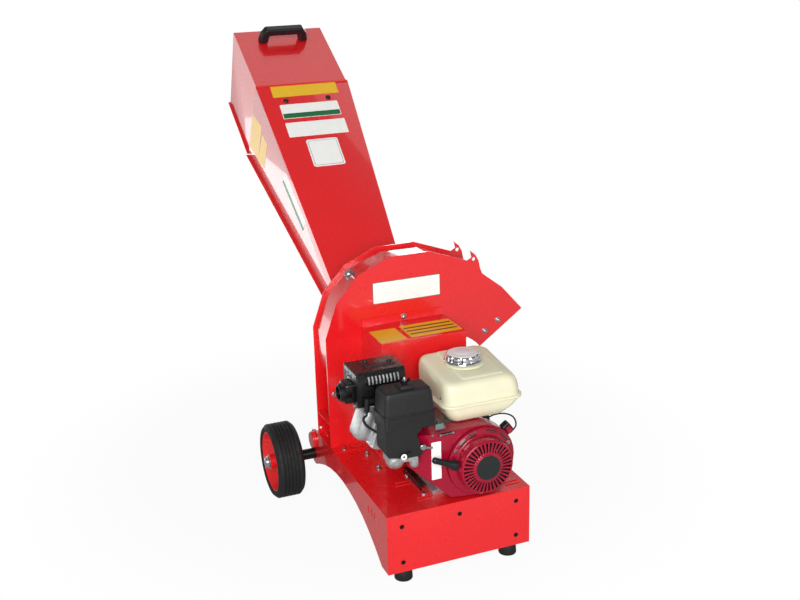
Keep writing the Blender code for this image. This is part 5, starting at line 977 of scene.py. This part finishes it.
class SHREDDER_OT_labels(ShredderStep, bpy.types.Operator):
    """Bare label places on the chute, front plate, guard and engine, and the chute's two plugs"""
    bl_idname = "shredder.labels"
    bl_label = "Bare labels"

    def execute(self, context):
        film = sizes().label_thickness
        wall = plane_at(spot(0, *CHUTE_FOOT), X_AXIS, (0, sin(CHUTE_TILT), cos(CHUTE_TILT)))
        front = plane_at(spot(0, FRONT_PLATE, 0), X_AXIS, Z_AXIS)
        top = plane_at(spot(0, 0, GUARD_TOP), X_AXIS, Y_AXIS)
        shroud = plane_at(spot(0, SHROUD_FRONT, 0), X_AXIS, Z_AXIS)
        for name, finish, face, x, y, width, height, layer, corner in (
            ("chute_label_yellow", "yellow_vinyl", wall, 0.001, 0.8835, 0.233, 0.052, 0, 0.002),
            ("chute_label_edged", "white_vinyl", wall, -0.001, 0.7935, 0.205, 0.061, 0, 0.003),
            ("chute_label_edged_band", "green_vinyl", wall, -0.001, 0.775, 0.2, 0.02, 1, 0.001),
            ("chute_label_long", "white_vinyl", wall, 0.0005, 0.715, 0.209, 0.061, 0, 0.003),
            ("chute_label_square", "white_vinyl", wall, 0.0015, 0.6115, 0.11, 0.113, 0, 0.008),
            ("chute_label_square_frame", "grey_vinyl", wall, 0.0015, 0.6115, 0.1, 0.103, 1, 0.006),
            ("chute_label_square_field", "white_vinyl", wall, 0.0015, 0.6115, 0.096, 0.099, 2, 0.005),
            ("housing_label_edge", "green_vinyl", front, 0.0445, 0.682, 0.216, 0.066, 0, 0.002),
            ("housing_label", "white_vinyl", front, 0.0445, 0.682, 0.213, 0.063, 1, 0.002),
            ("guard_label", "yellow_vinyl", top, -0.0602, 0.35, 0.081, 0.103, 0, 0.002),
            ("guard_strips", "yellow_vinyl", top, 0.0755, 0.357, 0.16, 0.102, 0, 0.002),
            ("shroud_label", "white_vinyl", shroud, -0.0623, 0.342, 0.0285, 0.11, 0, 0.002)):
            bm = bmesh.new()
            seat = face @ Matrix.Translation((x, y, PROUD + film * layer))
            panel(bm, seat, width, height, film, corner)
            finish_piece(name, bm, finish)
        bars = bmesh.new()
        for i in range(3):
            seat = top @ Matrix.Translation((0.0755, 0.3315 + i * 0.0255, PROUD + film))
            panel(bars, seat, 0.148, 0.0075, film, 0.0005)
        finish_piece("guard_strip_bars", bars, "black_vinyl")
        for name, finish, lift, corners in (
                ("side_label_yellow", "yellow_vinyl", PROUD,
                 ((1.3141, 1.1038), (1.2295, 1.0697), (1.3051, 0.9418), (1.3917, 0.9782))),
                ("side_label_small", "yellow_vinyl", PROUD,
                 ((1.2316, 1.0428), (1.1859, 1.0155), (1.243, 0.9231), (1.3041, 0.9398))),
                ("side_label_white", "white_vinyl", PROUD,
                 ((1.0215, 0.9512), (0.855, 0.8134), (0.8995, 0.7774), (1.0611, 0.9065))),
                ("side_label_band", "green_vinyl", PROUD + film,
                 ((1.044, 0.92), (0.882, 0.7905), (0.894, 0.7805), (1.056, 0.91)))):
            self.drape(name, finish, lift, *[Vector((0, *corner)) for corner in corners])
        caps = bmesh.new()
        for x in (-0.0755, 0.0742):
            turned(caps, CHUTE_PLUG, wall @ Vector((x, 0.84, PROUD)), wall.to_3x3() @ Z_AXIS, 32)
        finish_piece("chute_plugs", caps, "black_abs", sharp=60)
        return {"FINISHED"}

    def drape(self, name, finish, lift, top_left, top_right, low_right, low_left):
        """A label on the funnel's left wall, each of its points laid on the wall from outside."""
        wall = BVHTree.FromBMesh(copy_of("chute_funnel"))
        outside = spot(-0.3, 0, 0)
        bm = bmesh.new()
        bmesh.ops.create_grid(bm, x_segments=8, y_segments=8, size=0.5)
        for vert in bm.verts:
            a, b = vert.co.x + 0.5, vert.co.y + 0.5
            start = outside + low_left.lerp(low_right, a).lerp(top_left.lerp(top_right, a), b)
            place = wall.ray_cast(start, X_AXIS)[0]
            if place is None:
                raise RuntimeError("label point off the wall: " + name)
            vert.co = place - X_AXIS * lift
        made = finish_piece(name, bm, finish)
        made.data.shade_flat()
        step = made.modifiers.new("film", "SOLIDIFY")
        step.thickness = sizes().label_thickness
        step.offset = 0.0


class SHREDDER_OT_stage(ShredderStep, bpy.types.Operator):
    """Pale floor, soft lamps and the camera"""
    bl_idname = "shredder.stage"
    bl_label = "Stage"

    def execute(self, context):
        scene = context.scene
        make_floor()
        make_world(scene)
        make_lamps()
        make_camera(scene)
        scene.view_settings.view_transform = "Standard"
        return {"FINISHED"}


def make_floor():
    """A wide pale floor that keeps the shadow. The eye sees it white, a little greyer under the
    machine; in reflections it is grey in front and grows white behind."""
    bm = bmesh.new()
    bmesh.ops.create_circle(bm, cap_ends=True, segments=96, radius=40.0)
    mesh = bpy.data.meshes.new("floor")
    bm.to_mesh(mesh)
    bm.free()
    made = add_object("floor", mesh)
    paper = bpy.data.materials.new("matt_white_floor")
    paper.use_nodes = True
    tree = paper.node_tree
    tree.nodes.clear()
    diffuse = add_node(tree, "BsdfDiffuse", {"Color": (0.86, 0.86, 0.86, 1.0)})
    glow = add_node(tree, "Emission", {"Color": WHITE, "Strength": 1.0})
    path = add_node(tree, "LightPath")
    place = add_node(tree, "TexCoord").outputs["Object"]
    reach = add_node(tree, "VectorMath", {0: place}, operation="LENGTH")
    share = add_node(tree, "MapRange",
                     {"Value": reach.outputs["Value"], "From Min": 0.6, "From Max": 1.3, "To Min": 0.93,
                      "To Max": 1.0}, interpolation_type="SMOOTHSTEP")
    parts = add_node(tree, "SeparateXYZ", {"Vector": place})
    front, back = [add_node(tree, "MapRange",
                            {"Value": parts.outputs["Y"], "From Min": start, "From Max": end,
                             "To Min": low, "To Max": high}).outputs["Result"]
                   for start, end, low, high in ((-1.0, -1.5, 0.3, 0.5), (0.4, 1.2, 0.0, 0.7))]
    total = add_node(tree, "Math", {0: front, 1: back}, operation="ADD")
    mirrored = add_node(tree, "Emission", {"Color": WHITE, "Strength": total.outputs[0]})
    clear = add_node(tree, "Math",
                     {0: path.outputs["Is Camera Ray"], 1: path.outputs["Is Transmission Ray"]},
                     operation="ADD", use_clamp=True)
    part = add_node(tree, "Math", {0: clear.outputs[0], 1: share.outputs["Result"]},
                    operation="MULTIPLY")
    mix = add_node(tree, "MixShader",
                   {"Fac": part.outputs[0], 1: diffuse.outputs[0], 2: glow.outputs[0]})
    both = add_node(tree, "MixShader",
                    {"Fac": path.outputs["Is Glossy Ray"], 1: mix.outputs[0], 2: mirrored.outputs[0]})
    add_node(tree, "OutputMaterial", {"Surface": both.outputs[0]})
    mesh.materials.append(paper)


def make_world(scene):
    """White near the horizon and a softer grey overhead, as in a studio with a lit sweep."""
    world = bpy.data.worlds.new("studio")
    world.use_nodes = True
    scene.world = world
    tree = world.node_tree
    tree.nodes.clear()
    place = add_node(tree, "TexCoord").outputs["Generated"]
    parts = add_node(tree, "SeparateXYZ", {"Vector": place})
    rise = add_node(tree, "MapRange",
                    {"Value": parts.outputs["Z"], "From Min": 0.02, "From Max": 0.4, "To Min": 0.85,
                     "To Max": 0.2}, interpolation_type="SMOOTHSTEP")
    path = add_node(tree, "LightPath")
    mix = add_node(tree, "Mix",
                   {"Factor": path.outputs["Is Camera Ray"], "A": rise.outputs["Result"], "B": 1.0},
                   data_type="FLOAT")
    back = add_node(tree, "Background", {"Color": WHITE, "Strength": mix.outputs["Result"]})
    add_node(tree, "OutputWorld", {"Surface": back.outputs[0]})


def soft_box(name, place, aim, width, height, radiance):
    """A soft box at a place that faces another; radiance is its brightness beside white at 1."""
    lamp = bpy.data.lights.new(name, "AREA")
    lamp.shape = "RECTANGLE"
    lamp.size = width
    lamp.size_y = height
    lamp.energy = radiance * pi * width * height
    made = add_object(name, lamp)
    made.location = spot(*place)
    made.rotation_euler = (spot(*aim) - made.location).to_track_quat("-Z", "Y").to_euler()
    made.visible_camera = False


def make_lamps():
    """A large box in front, a weak one above the chute, a board low behind that the chute's left wall
    mirrors, and a small box that the rim band mirrors."""
    soft_box("front_box", (-1.5, -3.1, 2.2), (0.0, 0.4, 0.7), 2.6, 2.0, 9.4)
    soft_box("top_box", (0.9, 2.1, 3.6), (0.0, 1.3, 1.2), 2.6, 1.3, 0.75)
    soft_box("low_board", (-1.8, 4.8, 0.02), (-1.8, 4.8, 1.0), 4.0, 6.4, 1.2)
    soft_box("rim_box", (1.2, 3.4, 1.62), (0.055, 0.5, 0.788), 0.9, 0.7, 6.0)


def make_camera(scene):
    """The camera at the place, turn and lens that the machine was photographed with."""
    data = bpy.data.cameras.new("camera")
    data.lens = CAMERA_LENS
    data.sensor_width = 36.0
    data.sensor_fit = "HORIZONTAL"
    data.clip_end = 200.0
    made = add_object("camera", data)
    made.matrix_world = plane_at(spot(*CAMERA_PLACE), CAMERA_RIGHT, CAMERA_UP)
    scene.camera = made


class SHREDDER_PT_steps(bpy.types.Panel):
    """Lists the steps and the settings in the sidebar"""
    bl_idname = "SHREDDER_PT_steps"
    bl_label = "Garden shredder"
    bl_space_type = "VIEW_3D"
    bl_region_type = "UI"
    bl_category = "Shredder"

    def draw(self, context):
        for step in STEPS:
            self.layout.operator(step.bl_idname)
        for group in (context.scene.shredder_colours, context.scene.shredder_sizes):
            box = self.layout.box()
            for name in group.__annotations__:
                box.prop(group, name)


STEPS = (SHREDDER_OT_stage, SHREDDER_OT_tray, SHREDDER_OT_wheels, SHREDDER_OT_housing,
         SHREDDER_OT_rotor, SHREDDER_OT_belt_drive, SHREDDER_OT_chute, SHREDDER_OT_engine_block,
         SHREDDER_OT_shroud, SHREDDER_OT_tank, SHREDDER_OT_air_cleaner, SHREDDER_OT_muffler,
         SHREDDER_OT_ignition, SHREDDER_OT_fasteners, SHREDDER_OT_labels)
CLASSES = (ShredderColours, ShredderSizes) + STEPS + (SHREDDER_PT_steps,)


def register():
    for item in CLASSES:
        bpy.utils.register_class(item)
    bpy.types.Scene.shredder_colours = PointerProperty(type=ShredderColours)
    bpy.types.Scene.shredder_sizes = PointerProperty(type=ShredderSizes)


def unregister():
    del bpy.types.Scene.shredder_sizes
    del bpy.types.Scene.shredder_colours
    for item in reversed(CLASSES):
        bpy.utils.unregister_class(item)


def main():
    """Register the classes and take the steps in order."""
    register()
    for step in STEPS:
        getattr(bpy.ops.shredder, step.bl_idname.split(".")[1])()


if __name__ == "__main__":
    main()
